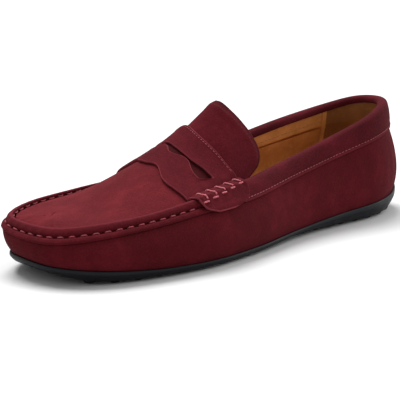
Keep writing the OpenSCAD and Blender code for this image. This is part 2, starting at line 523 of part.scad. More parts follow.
// ---- stitching ----
whip_from = 0.386;
whip_to = 0.489;
groove_w = 0.42;
module apron_stitching() {
    reach = 0.38;
    function on(t) = pinned(t, band_oz(station(t), groove_w, 0.65));
    // the pitch is even along the seam: run is the length of thread up to each step
    steps = 60;
    ts = span(1 - reach, 1 + reach, steps);
    lengths = [for (i = [1 : steps]) norm(on(ts[i]) - on(ts[i - 1]))];
    run = [for (i = 0, sum = 0; i <= steps; sum = sum + (i < steps ? lengths[i] : 0), i = i + 1) sum];
    function seam(f) =
        let (goal = min(0.9999, f) * run[steps], i = max([for (j = [0 : steps - 1]) if (run[j] <= goal) j]))
        on(lerp(ts[i], ts[i + 1], (goal - run[i]) / lengths[i]));
    n = round(run[steps] / apron_pitch);
    color(oxblood_thread) for (i = [0 : n - 1])
        stitch(seam((i + 0.2) / n), seam((i + 0.8) / n), thread_d);
}
module whip_stitching(medial) {
    side = medial ? 1 : -1;
    lift = strap_lift + strap_suede + thread_d * 0.25;
    low = function (i) lerp(1.56, 1.36, i / max(1, whip_count - 1));
    step = (whip_to - whip_from) / whip_count;
    color(oxblood_thread) for (i = [0 : whip_count - 1]) {
        k = whip_from + step * (i + 0.5);
        // over the ridge, leaning back as it comes up, then one step along below it
        thread([for (f = span(0, 1, 6))
            strap_point(k - step * 0.2 * (1 - 2 * f), side * lerp(0.96, low(i) - 0.04, f), lift)], thread_d);
        thread([for (f = span(0, 1, 3))
            strap_point(k + step * (0.22 - 0.55 * f), side * (low(i) + 0.02), lift)], thread_d * 0.85);
    }
}
module whip_stitching_lateral() { whip_stitching(false); }
module whip_stitching_medial() { whip_stitching(true); }

fine_thread = 0.5;
module collar_stitching() {
    n = 96;
    ts = collar_ts(n);
    // just above the collar's skin near its lower edge
    function on(t) = let (s = station(t), b = band_length(s), share = (0.1 * b + 1) / (0.4 * b + 1))
        pinned(t, band_oz(s, 0.1, 1.3 + plump(t) * share + fine_thread * 0.75));
    color(oxblood_thread) for (i = [1 : n - 2]) if (abs(ts[i] + ts[i + 1]) / 2 > backstay_half + 0.008)
        stitch(on(ts[i]), on(lerp(ts[i], ts[i + 1], 0.68)), fine_thread);
}
module tongue_stitching() {
    n = 34;
    function at_share(f) = let (s = lerp(-0.9, 0.9, f)) on_crown(tongue_end(s) - 0.009, s, 0.28, tongue_tuck);
    color(oxblood_thread) for (i = [0 : n - 1])
        stitch(at_share((i + 0.15) / n), at_share((i + 0.85) / n), fine_thread);
}
module strap_stitching() {
    n = 26;
    function at_share(f) = let (q = lerp(-0.86, 0.86, f))
        strap_point(along(REAR, abs(q)) - 0.006, q, strap_lift + strap_suede + 0.28);
    color(oxblood_thread) for (i = [0 : n - 1])
        stitch(at_share((i + 0.15) / n), at_share((i + 0.85) / n), fine_thread);
}
module backstay_stitching() {
    n = 11;
    edge = backstay_half * 0.72;
    color(oxblood_thread) for (t = [-edge, edge]) for (i = [0 : n - 1]) {
        s = station(t);
        a = pinned(t, wall_oz(s, lerp(0.38, 0.9, (i + 0.15) / n)) + [gap + 1.52, 0]);
        b = pinned(t, wall_oz(s, lerp(0.38, 0.9, (i + 0.85) / n)) + [gap + 1.52, 0]);
        stitch(a, b, fine_thread);
    }
}
module lining_stitching() {
    n = 10;
    function on(t, f) = let (s = station(t), v = lerp(0.3, 0.95, f))
        pinned(t, wall_oz(s, v) - [lining_depth(v, false) + lining + 0.6, 0]);
    color(tan_leather) for (t = [heel_seam + 0.014, -heel_seam - 0.014]) for (i = [0 : n - 1])
        stitch(on(t, (i + 0.15) / n), on(t, (i + 0.85) / n), fine_thread);
}

outsole();
insole_board();
footbed_foam();
sock_lining();
side_wall();
apron_plug();
tongue();
tongue_lining();
penny_strap();
collar_binding();
collar_foam();
backstay();
heel_counter();
toe_puff();
vamp_lining();
wall_lining();
quarter_lining_lateral();
quarter_lining_medial();
heel_lining();
apron_stitching();
whip_stitching_lateral();
whip_stitching_medial();
collar_stitching();
tongue_stitching();
strap_stitching();
backstay_stitching();
lining_stitching();
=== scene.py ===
"""Suede penny loafer, left foot. Lengths in the shape code are millimetres; MM turns them into metres."""

import bmesh
import bpy
import numpy as np
from mathutils import Matrix, Vector


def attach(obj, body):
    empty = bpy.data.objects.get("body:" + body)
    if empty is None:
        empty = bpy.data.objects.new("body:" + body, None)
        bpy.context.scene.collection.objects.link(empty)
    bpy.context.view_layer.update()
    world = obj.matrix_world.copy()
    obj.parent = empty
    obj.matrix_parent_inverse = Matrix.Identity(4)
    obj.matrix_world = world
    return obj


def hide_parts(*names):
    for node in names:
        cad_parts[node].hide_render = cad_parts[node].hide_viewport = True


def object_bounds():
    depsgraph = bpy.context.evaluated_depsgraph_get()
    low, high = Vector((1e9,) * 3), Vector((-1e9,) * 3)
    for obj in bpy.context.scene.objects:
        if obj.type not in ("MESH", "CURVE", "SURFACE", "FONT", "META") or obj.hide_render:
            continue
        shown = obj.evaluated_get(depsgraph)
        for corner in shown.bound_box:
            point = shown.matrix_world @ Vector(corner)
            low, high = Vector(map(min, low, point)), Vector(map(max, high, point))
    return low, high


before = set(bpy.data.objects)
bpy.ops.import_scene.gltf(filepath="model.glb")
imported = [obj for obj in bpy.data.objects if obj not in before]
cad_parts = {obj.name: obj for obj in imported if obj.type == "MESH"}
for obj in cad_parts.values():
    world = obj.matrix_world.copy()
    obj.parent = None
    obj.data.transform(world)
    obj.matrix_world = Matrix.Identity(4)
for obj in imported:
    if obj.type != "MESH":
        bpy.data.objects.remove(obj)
CAD_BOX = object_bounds()
MM = (CAD_BOX[1][0] - CAD_BOX[0][0]) / 283.28

# ------------------------------------------------------------------ the last
# The same stations, wall, band, crown and instep as in the CAD source, sampled much more finely.
# t runs 0 at the back of the heel, 1 at the toe tip, 2 at the back of the heel again,
# along the lateral side first.
# Columns: x, y, seat, rim, under, bulge, crease_in, crease_z, top_in, top_z
STATIONS = np.array([
    [138, 0, 10, 21, 7, 4.5, 2, 56, 4.5, 73],
    [130, -20, 10, 13.5, 4, 4.5, 2, 55.5, 4.5, 72.5],
    [105, -32, 9.5, 10.5, 2.5, 4, 2, 51.5, 5, 66.5],
    [67, -33, 7.5, 8, 2, 4, 2.5, 44, 7, 56],
    [30, -36, 5, 5.5, 1.5, 4.5, 2.5, 37.5, 8, 48],
    [-10, -45.5, 4, 4.5, 0.5, 5, 3, 33, 9, 43],
    [-48, -50.5, 4, 4.5, 0.5, 5, 3, 31.5, 9, 39.5],
    [-84, -46.5, 5, 5.5, 1, 4.5, 2, 28, 8, 35],
    [-114, -36, 7.5, 8, 1.5, 4, 0.5, 25, 6.5, 32.5],
    [-132, -17, 9.5, 10, 2.5, 2.5, -1.5, 22.5, 5, 30.5],
    [-136, 8, 11, 11.5, 3, 1.5, -4, 23.5, 2, 31],
    [-131.5, 25, 10.5, 11, 2.5, 1.5, -5, 26, 0.5, 33],
    [-113, 38.5, 8, 8.5, 2, 3, -1, 28, 4.5, 35],
    [-80, 44, 5.5, 6, 1.5, 4.5, 2.5, 30, 8, 37],
    [-46, 42, 4.5, 5, 1.5, 5, 3.5, 32, 9, 40],
    [-10, 33, 5, 5.5, 1.5, 5, 4, 37, 9, 48.5],
    [30, 28, 6, 6.5, 1.5, 4.5, 3, 43, 8, 57],
    [67, 29, 8, 8.5, 2, 4, 2.5, 47, 7, 62.5],
    [105, 29, 9.5, 11, 2.5, 4, 2, 51, 5, 66.5],
    [130, 19, 10, 15, 4, 4.5, 2, 54.5, 4.5, 71]])
X, Y, SEAT, RIM, UNDER, BULGE, CREASE_IN, CREASE_Z, TOP_IN, TOP_Z = range(10)
CENTRE = (-1.4, 3.3)       # brings the middle of the box to the origin
# height of the instep's middle line at points along the shoe
INSTEP = np.array([[-132, 31.5], [-118, 32.5], [-105, 34.5], [-92, 38], [-78, 44], [-63, 50.5],
                   [-48, 57], [-35, 63.5], [-22, 72], [-10, 80.5], [2, 87.5], [14, 93], [26, 97.5]])
THROAT = 0.475            # where ridge turns into collar, as distance in t from the toe
TONGUE_START = 0.45       # the tongue's root, as distance in t from the toe
HEEL_SEAM = 0.182         # seams of the heel lining, in t from the back
BACKSTAY_HALF = 0.045     # half the backstay's width, in t
SUEDE = 1.4               # thicknesses
LINING = 0.9
STRAP = 1.8
BOARD_THICK = 1.8
FOAM_THICK = 3
GLUE_GAP = 0.2            # between the layers under the foot
LINING_DEPTH = 3.1        # from the suede's outer face to the lining, where a stiffener lies between
STRAP_LIFT = 0.15         # gap between strap and apron
FOOT = 1.9                # the apron starts this far inside and below the ridge's crest
TOE_FOLD = 24             # the crown's middle line starts this far behind the toe's edge
PEBBLE_H = 1.3            # height of the tread's pebbles
PEBBLE_SIDES = 20


def lerp(a, b, f):
    return a + (b - a) * f


def smooth(f):
    c = np.clip(f, 0, 1)
    return c * c * (3 - 2 * c)


def catmull(a, b, c, d, f):
    return b + 0.5 * f * (c - a + f * (2 * a - 5 * b + 4 * c - d + f * (3 * (b - c) + d - a)))


def station(t):
    """Rows of the station table at t, the columns first."""
    u = np.asarray(t, float) * len(STATIONS) / 2
    i = np.floor(u).astype(int)
    near = [STATIONS[(i + o) % len(STATIONS)] for o in (-1, 0, 1, 2)]
    return np.moveaxis(catmull(*near, (u - i)[..., None]), -1, 0)


def outward(t):
    """Unit direction out of the outline at t, seen from above."""
    a, b = station(t - 0.02), station(t + 0.02)
    dx, dy = b[X] - a[X], b[Y] - a[Y]
    size = np.hypot(dx, dy)
    return -dy / size, dx / size


def at(t, out, z):
    """Points at station t, moved out, at height z."""
    t, out, z = np.broadcast_arrays(np.asarray(t, float), out, z)
    s, (nx, ny) = station(t), outward(t)
    return np.stack([s[X] + nx * out + CENTRE[0], s[Y] + ny * out + CENTRE[1], z], -1)


def wall(s, v):
    """Side wall as out and height, v from seat to crease."""
    out = -s[CREASE_IN] * v + s[BULGE] * 4 * v * (1 - v) * (1.25 - 0.5 * v)
    return out, lerp(s[SEAT], s[CREASE_Z], v)


def band_length(s):
    return np.hypot(s[TOP_IN] - s[CREASE_IN], s[TOP_Z] - s[CREASE_Z])


def band(s, w, h):
    """Band above the crease as out and height: w from crease to crest, h outwards."""
    dx, dz = s[CREASE_IN] - s[TOP_IN], s[TOP_Z] - s[CREASE_Z]
    size = np.hypot(dx, dz)
    return -s[CREASE_IN] + dx * w + h * dz / size, s[CREASE_Z] + dz * w - h * dx / size


def band_section(s, pairs):
    """Section points from pairs of w and h, in order round the section."""
    points = []
    for w, h in pairs:
        out, z = band(s, np.asarray(w), np.asarray(h))
        points.append(np.stack(np.broadcast_arrays(np.squeeze(out), np.squeeze(z)), -1))
    return np.stack(points, 1)


def sole_base(x):
    """Height of the rubber's underside: up at the toe, and a little at the waist and the back."""
    return (PEBBLE_H + 5 * np.clip((-93 - x) / 43, 0, None) ** 3 + 0.8 * np.exp(-((x - 38) / 28) ** 2)
            + 1.5 * np.clip((x - 118) / 20, 0, None) ** 2)


def curve_through(pairs, q):
    """A smooth curve through pairs of place and value, read at q."""
    pairs = np.array(pairs, float)
    x, y = pairs[:, 0], pairs[:, 1]
    slope = np.gradient(y, x)
    i = np.clip(np.searchsorted(x, q, side="right") - 1, 0, len(x) - 2)
    gap = x[i + 1] - x[i]
    f = np.clip((q - x[i]) / gap, 0, 1)
    return ((2 * f ** 3 - 3 * f ** 2 + 1) * y[i] + (f ** 3 - 2 * f ** 2 + f) * gap * slope[i]
            + (3 * f ** 2 - 2 * f ** 3) * y[i + 1] + (f ** 3 - f ** 2) * gap * slope[i + 1])


def crown(k, s, tuck=(0, 0)):
    """Surface of apron and tongue: k is distance in t from the toe, s -1 lateral to 1 medial."""
    k, s = np.broadcast_arrays(np.asarray(k, float), np.asarray(s, float))

    def foot(t, tuck=(0, 0)):
        c = station(t)
        return at(t, -c[TOP_IN] - FOOT - tuck[0], c[TOP_Z] - FOOT - tuck[1])

    side = foot(np.where(s < 0, 1 - k, 1 + k), tuck)
    steep = smooth((k - 0.1) / 0.3)
    mid = lerp(foot(1 - k), foot(1 + k), (0.5 + 0.1 * steep)[..., None])
    mid[..., 0] += TOE_FOLD * np.clip(1 - k / 0.25, 0, None) ** 2
    mid[..., 2] = curve_through(INSTEP, mid[..., 0] - CENTRE[0])
    r = 1 - np.abs(s)
    across = r[..., None]
    tent = 1 - (np.sqrt((1 - r) ** 2 + 0.05) - 0.2236) / 0.8011
    up = lerp(r * (2 - r), lerp(tent, r * (2 - r), 0.6), steep)
    p = lerp(side, mid, across)
    p[..., 2] = lerp(side[..., 2], mid[..., 2], up)
    return p


def on_crown(k, s, h, tuck=(0, 0)):
    """A point of the crown lifted by h along its normal."""
    k, s = np.broadcast_arrays(np.asarray(k, float), np.asarray(s, float))
    kn, sn = np.maximum(0.03, k), s * 0.97
    a, b = crown(kn, np.maximum(-1, sn - 0.03), tuck), crown(kn, np.minimum(1, sn + 0.03), tuck)
    c, d = crown(kn - 0.01, sn, tuck), crown(kn + 0.01, sn, tuck)
    n = np.cross(d - c, b - a)
    n *= (np.sign(n[..., 2:]) / np.linalg.norm(n, axis=-1, keepdims=True))
    return crown(k, s, tuck) + n * np.asarray(h, float)[..., None]


# ------------------------------------------------------------------ mesh helpers
def quads(rows, cols, wrap_rows=False, wrap_cols=False):
    """Four-sided faces over a grid of points, closed on itself where asked."""
    i = np.arange(rows if wrap_rows else rows - 1)[:, None]
    j = np.arange(cols if wrap_cols else cols - 1)[None, :]
    up, right = (i + 1) % rows, (j + 1) % cols
    cells = np.stack([i * cols + j, i * cols + right, up * cols + right, up * cols + j], -1)
    return cells.reshape(-1, 4)


def piece(name, points, faces, material, slot, body="shoe", replaces=(), edge=None, weld=False):
    """Makes one mesh object from points in millimetres, and fixes it to its body."""
    data = bpy.data.meshes.new(name)
    corners = (np.asarray(points).reshape(-1, 3) * MM).tolist()
    data.from_pydata(corners, [], [list(map(int, f)) for f in faces])
    if edge is not None:
        marks = data.attributes.new("edge", "FLOAT", "POINT")
        marks.data.foreach_set("value", np.ravel(edge).astype(np.float32))
    bm = bmesh.new()
    bm.from_mesh(data)
    if weld:
        bmesh.ops.remove_doubles(bm, verts=bm.verts, dist=2e-6)
        bmesh.ops.dissolve_degenerate(bm, edges=bm.edges, dist=1e-6)
    bmesh.ops.recalc_face_normals(bm, faces=bm.faces)
    bm.to_mesh(data)
    bm.free()
    data.shade_smooth()
    data.materials.append(material)
    obj = bpy.data.objects.new(name, data)
    bpy.context.scene.collection.objects.link(obj)
    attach(obj, body)
    if replaces:
        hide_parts(*replaces)
    return obj


def fine_ends(length, step, edge=1.0):
    """Shares from 0 to 1, every step mm, with extra ones close to both ends for a rounded edge."""
    near = np.array([0, 0.06, 0.2, 0.42, 0.7, 1]) * edge / length
    middle = np.linspace(near[-1], 1 - near[-1], max(3, int((length - 2 * edge) / step)))
    return np.concatenate([near[:-1], middle, 1 - near[:-1][::-1]])


def edge_distance(p):
    """Distance of each grid point to the nearest border, along the grid lines."""
    def along(axis):
        step = np.linalg.norm(np.diff(p, axis=axis), axis=-1)
        pad = np.zeros_like(np.take(step, [0], axis))
        run = np.concatenate([pad, np.cumsum(step, axis)], axis)
        return np.minimum(run, np.take(run, [-1], axis) - run)
    return np.minimum(along(0), along(1))


def roundness(distance, radius):
    """0 on the edge and 1 beyond the radius, on a quarter circle."""
    return np.sqrt(np.clip(1 - (1 - np.clip(distance / radius, 0, 1)) ** 2, 0, 1))


def leather_sheet(name, place, thick, material, slot, radius=0.9, distance=None, tint=None, **more):
    """A sheet with rounded cut edges. place(h) gives the grid of points at height h.

    The edge attribute is 1 on a cut edge; tint adds to it, and below 0 it darkens the suede.
    """
    rows, cols = place(np.zeros(1)).shape[:2]
    middle = place(np.full((rows, cols), thick / 2))
    d = edge_distance(middle) if distance is None else distance
    e = roundness(d, radius)
    top, under = place(thick / 2 * (1 + e)), place(thick / 2 * (1 - e))
    rim = np.zeros((rows, cols), bool)
    rim[[0, -1]] = True
    rim[:, [0, -1]] = True
    below = np.where(rim.ravel(), np.arange(rows * cols), np.arange(rows * cols) + rows * cols)
    faces = quads(rows, cols)
    points = np.concatenate([top.reshape(-1, 3), under.reshape(-1, 3)])
    keep = np.concatenate([np.ones(rows * cols, bool), ~rim.ravel()])
    number = np.cumsum(keep) - 1
    edge = np.clip(1 - d / (radius * 1.2), 0, 1) + (0 if tint is None else tint)
    edge = np.concatenate([edge.ravel()] * 2)[keep]
    faces = np.concatenate([faces, below[faces][:, ::-1]])
    return piece(name, points[keep], number[faces], material, slot, edge=edge, **more)


def tube(path, diameter, sides=10, ply=0.0, turns=0.0):
    """Points and faces of a round thread through a path, its two plies twisted together."""
    path = np.asarray(path, float)
    ahead = np.gradient(path, axis=0)
    ahead /= np.linalg.norm(ahead, axis=1, keepdims=True)
    side = np.cross(ahead, [0.0, 0.0, 1.0])
    side /= np.linalg.norm(side, axis=1, keepdims=True)
    other = np.cross(ahead, side)
    angle = np.linspace(0, 2 * np.pi, sides, endpoint=False)
    share = np.linspace(0, 1, len(path))[:, None]
    r = diameter / 2 * (1 + ply * np.cos(2 * (angle[None] - 2 * np.pi * turns * share)))
    r = r * np.where((share < 1e-9) | (share > 1 - 1e-9), 0.6, 1)
    rings = path[:, None] + r[..., None] * (np.cos(angle)[None, :, None] * side[:, None]
                                            + np.sin(angle)[None, :, None] * other[:, None])
    faces = [list(f) for f in quads(len(path), sides, wrap_cols=True)]
    faces += [list(range(sides)), list(range((len(path) - 1) * sides, len(path) * sides))]
    return rings.reshape(-1, 3), faces


def bundle(parts):
    """Joins several point and face lists into one."""
    points, faces, start = [], [], 0
    for p, f in parts:
        points.append(p)
        faces += [[int(i) + start for i in face] for face in f]
        start += len(p)
    return np.concatenate(points), faces


def smooth_path(points, n):
    """A rounded path through a few points."""
    points = np.asarray(points, float)
    ends = np.concatenate([[2 * points[0] - points[1]], points, [2 * points[-1] - points[-2]]])
    u = np.linspace(0, len(points) - 1, n)
    i = np.minimum(u.astype(int), len(points) - 2)
    return catmull(ends[i], ends[i + 1], ends[i + 2], ends[i + 3], (u - i)[:, None])


def corner_cut(loop, times=2):
    """Rounds a closed section by cutting its corners; the section is the last axis but one."""
    for _ in range(times):
        after = np.roll(loop, -1, axis=-2)
        loop = np.stack([0.75 * loop + 0.25 * after, 0.25 * loop + 0.75 * after], -2)
        loop = loop.reshape(*loop.shape[:-3], -1, loop.shape[-1])
    return loop


# ------------------------------------------------------------------ materials
def linear(code):
    """sRGB hex to linear RGBA."""
    c = np.array([int(code[i:i + 2], 16) / 255 for i in (1, 3, 5)])
    return (*np.where(c <= 0.04045, c / 12.92, ((c + 0.055) / 1.055) ** 2.4).tolist(), 1.0)


def add(tree, kind, settings=None, **inputs):
    """Adds a node, sets its properties, and fills or links its inputs by name or number."""
    node = tree.nodes.new(kind)
    for key, value in (settings or {}).items():
        setattr(node, key, value)
    for key, value in inputs.items():
        numbered = key[0] == "_" and key[1:].isdigit()
        socket = node.inputs[int(key[1:]) if numbered else key.replace("_", " ")]
        if isinstance(value, bpy.types.NodeSocket):
            tree.links.new(value, socket)
        elif isinstance(value, str):
            socket.default_value = linear(value)
        else:
            socket.default_value = value
    return node


def start_material(name):
    """An empty material, its node tree, and the place on the object as a socket."""
    material = bpy.data.materials.new(name)
    material.use_nodes = True
    tree = material.node_tree
    tree.nodes.clear()
    where = add(tree, "ShaderNodeTexCoord").outputs["Object"]
    return material, tree, where


def finish_material(tree, colour, height, distance, strength, **constants):
    """Principled surface with a bump; the constants sit on its own sockets."""
    bump = add(tree, "ShaderNodeBump", Strength=strength, Distance=distance, Height=height)
    surface = add(tree, "ShaderNodeBsdfPrincipled", Base_Color=colour, Normal=bump.outputs[0], **constants)
    add(tree, "ShaderNodeOutputMaterial", Surface=surface.outputs[0])
    return surface


def noise(tree, where, size_mm, detail=2.0, roughness=0.5, stretch=(1, 1, 1), distortion=0.0):
    """Noise whose grain is about size_mm across."""
    scaled = add(tree, "ShaderNodeMapping", _0=where, Scale=stretch)
    grain = add(tree, "ShaderNodeTexNoise", _0=scaled.outputs[0], Scale=1 / (size_mm * MM),
                Detail=detail, Roughness=roughness, Distortion=distortion)
    return grain.outputs[0]


def ramp(tree, value, low, high, to_low=0.0, to_high=1.0):
    """A soft step: value from low to high becomes to_low to to_high."""
    step = add(tree, "ShaderNodeMapRange", {"interpolation_type": "SMOOTHSTEP"}, Value=value,
               _1=low, _2=high, _3=to_low, _4=to_high)
    return step.outputs[0]


def blend_colour(tree, factor, a, b):
    """Colour a where factor is 0, b where it is 1; each is a hex code or a socket."""
    node = add(tree, "ShaderNodeMix", {"data_type": "RGBA"}, _0=factor)
    for socket, value in ((node.inputs[6], a), (node.inputs[7], b)):
        if isinstance(value, str):
            socket.default_value = linear(value)
        else:
            tree.links.new(value, socket)
    return node.outputs[2]


def mix_value(tree, a, b, factor):
    """a plus factor times b."""
    scaled = add(tree, "ShaderNodeMath", {"operation": "MULTIPLY"}, _0=b, _1=factor).outputs[0]
    return add(tree, "ShaderNodeMath", {"operation": "ADD"}, _0=a, _1=scaled).outputs[0]


def suede(name, dark, mid, light, cut, nap=(1, 1, 1)):
    """Split cowhide suede, dyed through and brushed: fibres stand up, so it is matt with a soft sheen,
    and lies in lighter and darker patches where it was stroked."""
    material, tree, where = start_material(name)
    stroked = noise(tree, where, 26, 2, 0.5, nap, 0.6)
    patches = noise(tree, where, 7, 3, 0.6, nap)
    fibres = noise(tree, where, 0.9, 3, 0.7, nap)     # real fibres are 0.1 mm; drawn coarser so they show
    tone = mix_value(tree, ramp(tree, stroked, 0.2, 0.8), ramp(tree, patches, 0.3, 0.7), factor=0.5)
    colour = blend_colour(tree, ramp(tree, tone, 0.1, 1.2), dark, mid)
    colour = blend_colour(tree, ramp(tree, tone, 0.8, 1.5, 0, 0.4), colour, light)
    colour = blend_colour(tree, ramp(tree, fibres, 0.4, 0.7, 0.0, 0.35), colour, light)
    speck = ramp(tree, noise(tree, where, 0.7, 1, 0.5), 0.32, 0.48, 0.5, 0)
    colour = blend_colour(tree, speck, colour, dark)
    edge = add(tree, "ShaderNodeAttribute", {"attribute_name": "edge"}).outputs["Fac"]
    colour = blend_colour(tree, ramp(tree, edge, 0.25, 0.9, 0, 0.75), colour, cut)
    # painted shade: an edge value below 0 darkens the suede towards near black, in the slot under the strap,
    # beside the backstay and at the tongue's end
    colour = blend_colour(tree, ramp(tree, edge, -0.9, -0.1, 0.6, 0), colour, "#1c0406")
    height = mix_value(tree, fibres, patches, factor=0.6)
    finish_material(tree, colour, height, 0.0005, 0.55, Roughness=0.95, Specular_IOR_Level=0.08,
                    Sheen_Weight=0.12, Sheen_Roughness=0.5, Sheen_Tint=light)
    return material


def lining_leather(name, dark, mid, light, pore_mm=1.1, rough=0.55):
    """Vegetable-tanned lining leather, smooth side out: a satin finish with fine pores and soft creases."""
    material, tree, where = start_material(name)
    cloud = noise(tree, where, 22, 3, 0.55)
    colour = blend_colour(tree, ramp(tree, cloud, 0.3, 0.7), dark, mid)
    fine = noise(tree, where, 2.4, 3, 0.6)
    colour = blend_colour(tree, ramp(tree, fine, 0.5, 0.8, 0, 0.4), colour, light)
    scaled = add(tree, "ShaderNodeMapping", _0=where)
    cells = add(tree, "ShaderNodeTexVoronoi", {"feature": "F1"}, _0=scaled.outputs[0],
                Scale=1 / (pore_mm * MM))
    pores = cells.outputs[0]
    pit = ramp(tree, pores, 0.0, 0.35)
    colour = blend_colour(tree, ramp(tree, pores, 0.0, 0.22, 0.35, 0), colour, dark)
    height = mix_value(tree, pit, fine, factor=0.8)
    finish_material(tree, colour, height, 0.0003, 0.4, Roughness=rough, Specular_IOR_Level=0.35,
                    Coat_Weight=0.05, Coat_Roughness=0.5)
    return material


def sewing_thread(name, dark, light):
    """Waxed polyester thread, two plies twisted: a slight gloss that runs in slanted lines."""
    material, tree, where = start_material(name)
    lay = noise(tree, where, 0.35, 2, 0.6, (1, 1, 2.4))
    # painted highlight: the gloss along the twist is drawn into the colour as lighter slanted lines
    colour = blend_colour(tree, ramp(tree, lay, 0.35, 0.65), dark, light)
    finish_material(tree, colour, lay, 0.0002, 0.6, Roughness=0.6, Specular_IOR_Level=0.2,
                    Sheen_Weight=0.08, Sheen_Roughness=0.4, Sheen_Tint=light)
    return material


def moulded_rubber(name, dark, light):
    """Vulcanised rubber from a lightly sandblasted mould: matt black, a faint broad shine and dust in
    the grain."""
    material, tree, where = start_material(name)
    grain = noise(tree, where, 0.7, 3, 0.6)
    scuff = noise(tree, where, 9, 3, 0.6, (1, 1, 2.5))
    colour = blend_colour(tree, ramp(tree, scuff, 0.35, 0.75), dark, light)
    rough = ramp(tree, scuff, 0.3, 0.7, 0.5, 0.62)
    surface = finish_material(tree, colour, grain, 0.00025, 0.35, Specular_IOR_Level=0.22)
    tree.links.new(rough, surface.inputs["Roughness"])
    return material


def fibrous(name, dark, light, fibre_mm, rough):
    """Pressed fibreboard or open-cell foam, seen only when the shoe is taken apart."""
    material, tree, where = start_material(name)
    grain = noise(tree, where, fibre_mm, 4, 0.65, (1, 1, 3))
    colour = blend_colour(tree, ramp(tree, grain, 0.3, 0.7), dark, light)
    finish_material(tree, colour, grain, 0.0004, 0.5, Roughness=rough, Specular_IOR_Level=0.2)
    return material


# The side wall's suede is coloured darker than the apron's: painted shade for the wall, which faces away from
# the top light.
WALL_SUEDE = suede("suede_side_wall", "#400a10", "#4a0d14", "#5f1820", "#63202a", (1, 1, 0.8))
APRON_SUEDE = suede("suede_apron", "#4a1016", "#57151b", "#6c2128", "#7a2f36", (0.8, 1, 0.8))
TONGUE_SUEDE = suede("suede_tongue", "#430a11", "#4e0f17", "#651a24", "#2a080c", (0.8, 1, 0.8))
STRAP_SUEDE = suede("suede_strap", "#3f0a11", "#4b0e16", "#621922", "#8a3c43", (1, 0.6, 0.8))
COLLAR_SUEDE = suede("suede_collar", "#3a0a10", "#480e16", "#601a23", "#74292f", (0.7, 0.7, 1))
QUARTER_LEATHER = lining_leather("leather_quarter_lining", "#b97a3c", "#d59254", "#e2aa70")
HEEL_LEATHER = lining_leather("leather_heel_lining", "#7e4f25", "#925a2b", "#ab7440")
GRIP_LEATHER = lining_leather("leather_heel_grip", "#654020", "#785028", "#8f6638", 0.8, 0.8)
SOCK_LEATHER = lining_leather("leather_sock", "#7d4a1c", "#965c26", "#b47b42")
THREAD = sewing_thread("thread_red", "#6a1a23", "#96404a")
WHIP_THREAD = sewing_thread("thread_light_red", "#8a2f3a", "#c26a73")
DARK_THREAD = sewing_thread("thread_dark_red", "#2a080e", "#4a121b")
PALE_THREAD = sewing_thread("thread_rose", "#6a2a31", "#9a545b")
TAN_THREAD = sewing_thread("thread_tan", "#8a5a2a", "#c08a52")
RUBBER = moulded_rubber("rubber_sole", "#07080c", "#0c0e14")
BOARD = fibrous("fibreboard", "#5d554b", "#8d8579", 1.2, 0.85)
FOAM = fibrous("foam", "#b3aa94", "#d9d2c0", 0.8, 0.95)

# ------------------------------------------------------------------ side wall
STITCHES = 33
GROOVE = 0.44              # the seam's groove, as a share of the band
REACH = 0.38               # the running stitches end this far in t from the toe
SEAM = np.linspace(1 - REACH, 1 + REACH, 400)
SEAM_STEPS = np.diff(at(SEAM, *band(station(SEAM), GROOVE, 0)), axis=0)
SEAM_RUN = np.cumsum(np.append(0, np.linalg.norm(SEAM_STEPS, axis=1)))


def stitch_wave(t):
    """1 under the middle of a running stitch, 0 at its holes; the pitch is even along the seam."""
    phase = np.interp(t, SEAM, SEAM_RUN / SEAM_RUN[-1]) * STITCHES
    return 0.5 - 0.5 * np.cos(2 * np.pi * phase)


def seam_t(share):
    """t at a share of the seam's length."""
    return np.interp(share * SEAM_RUN[-1], SEAM_RUN, SEAM)


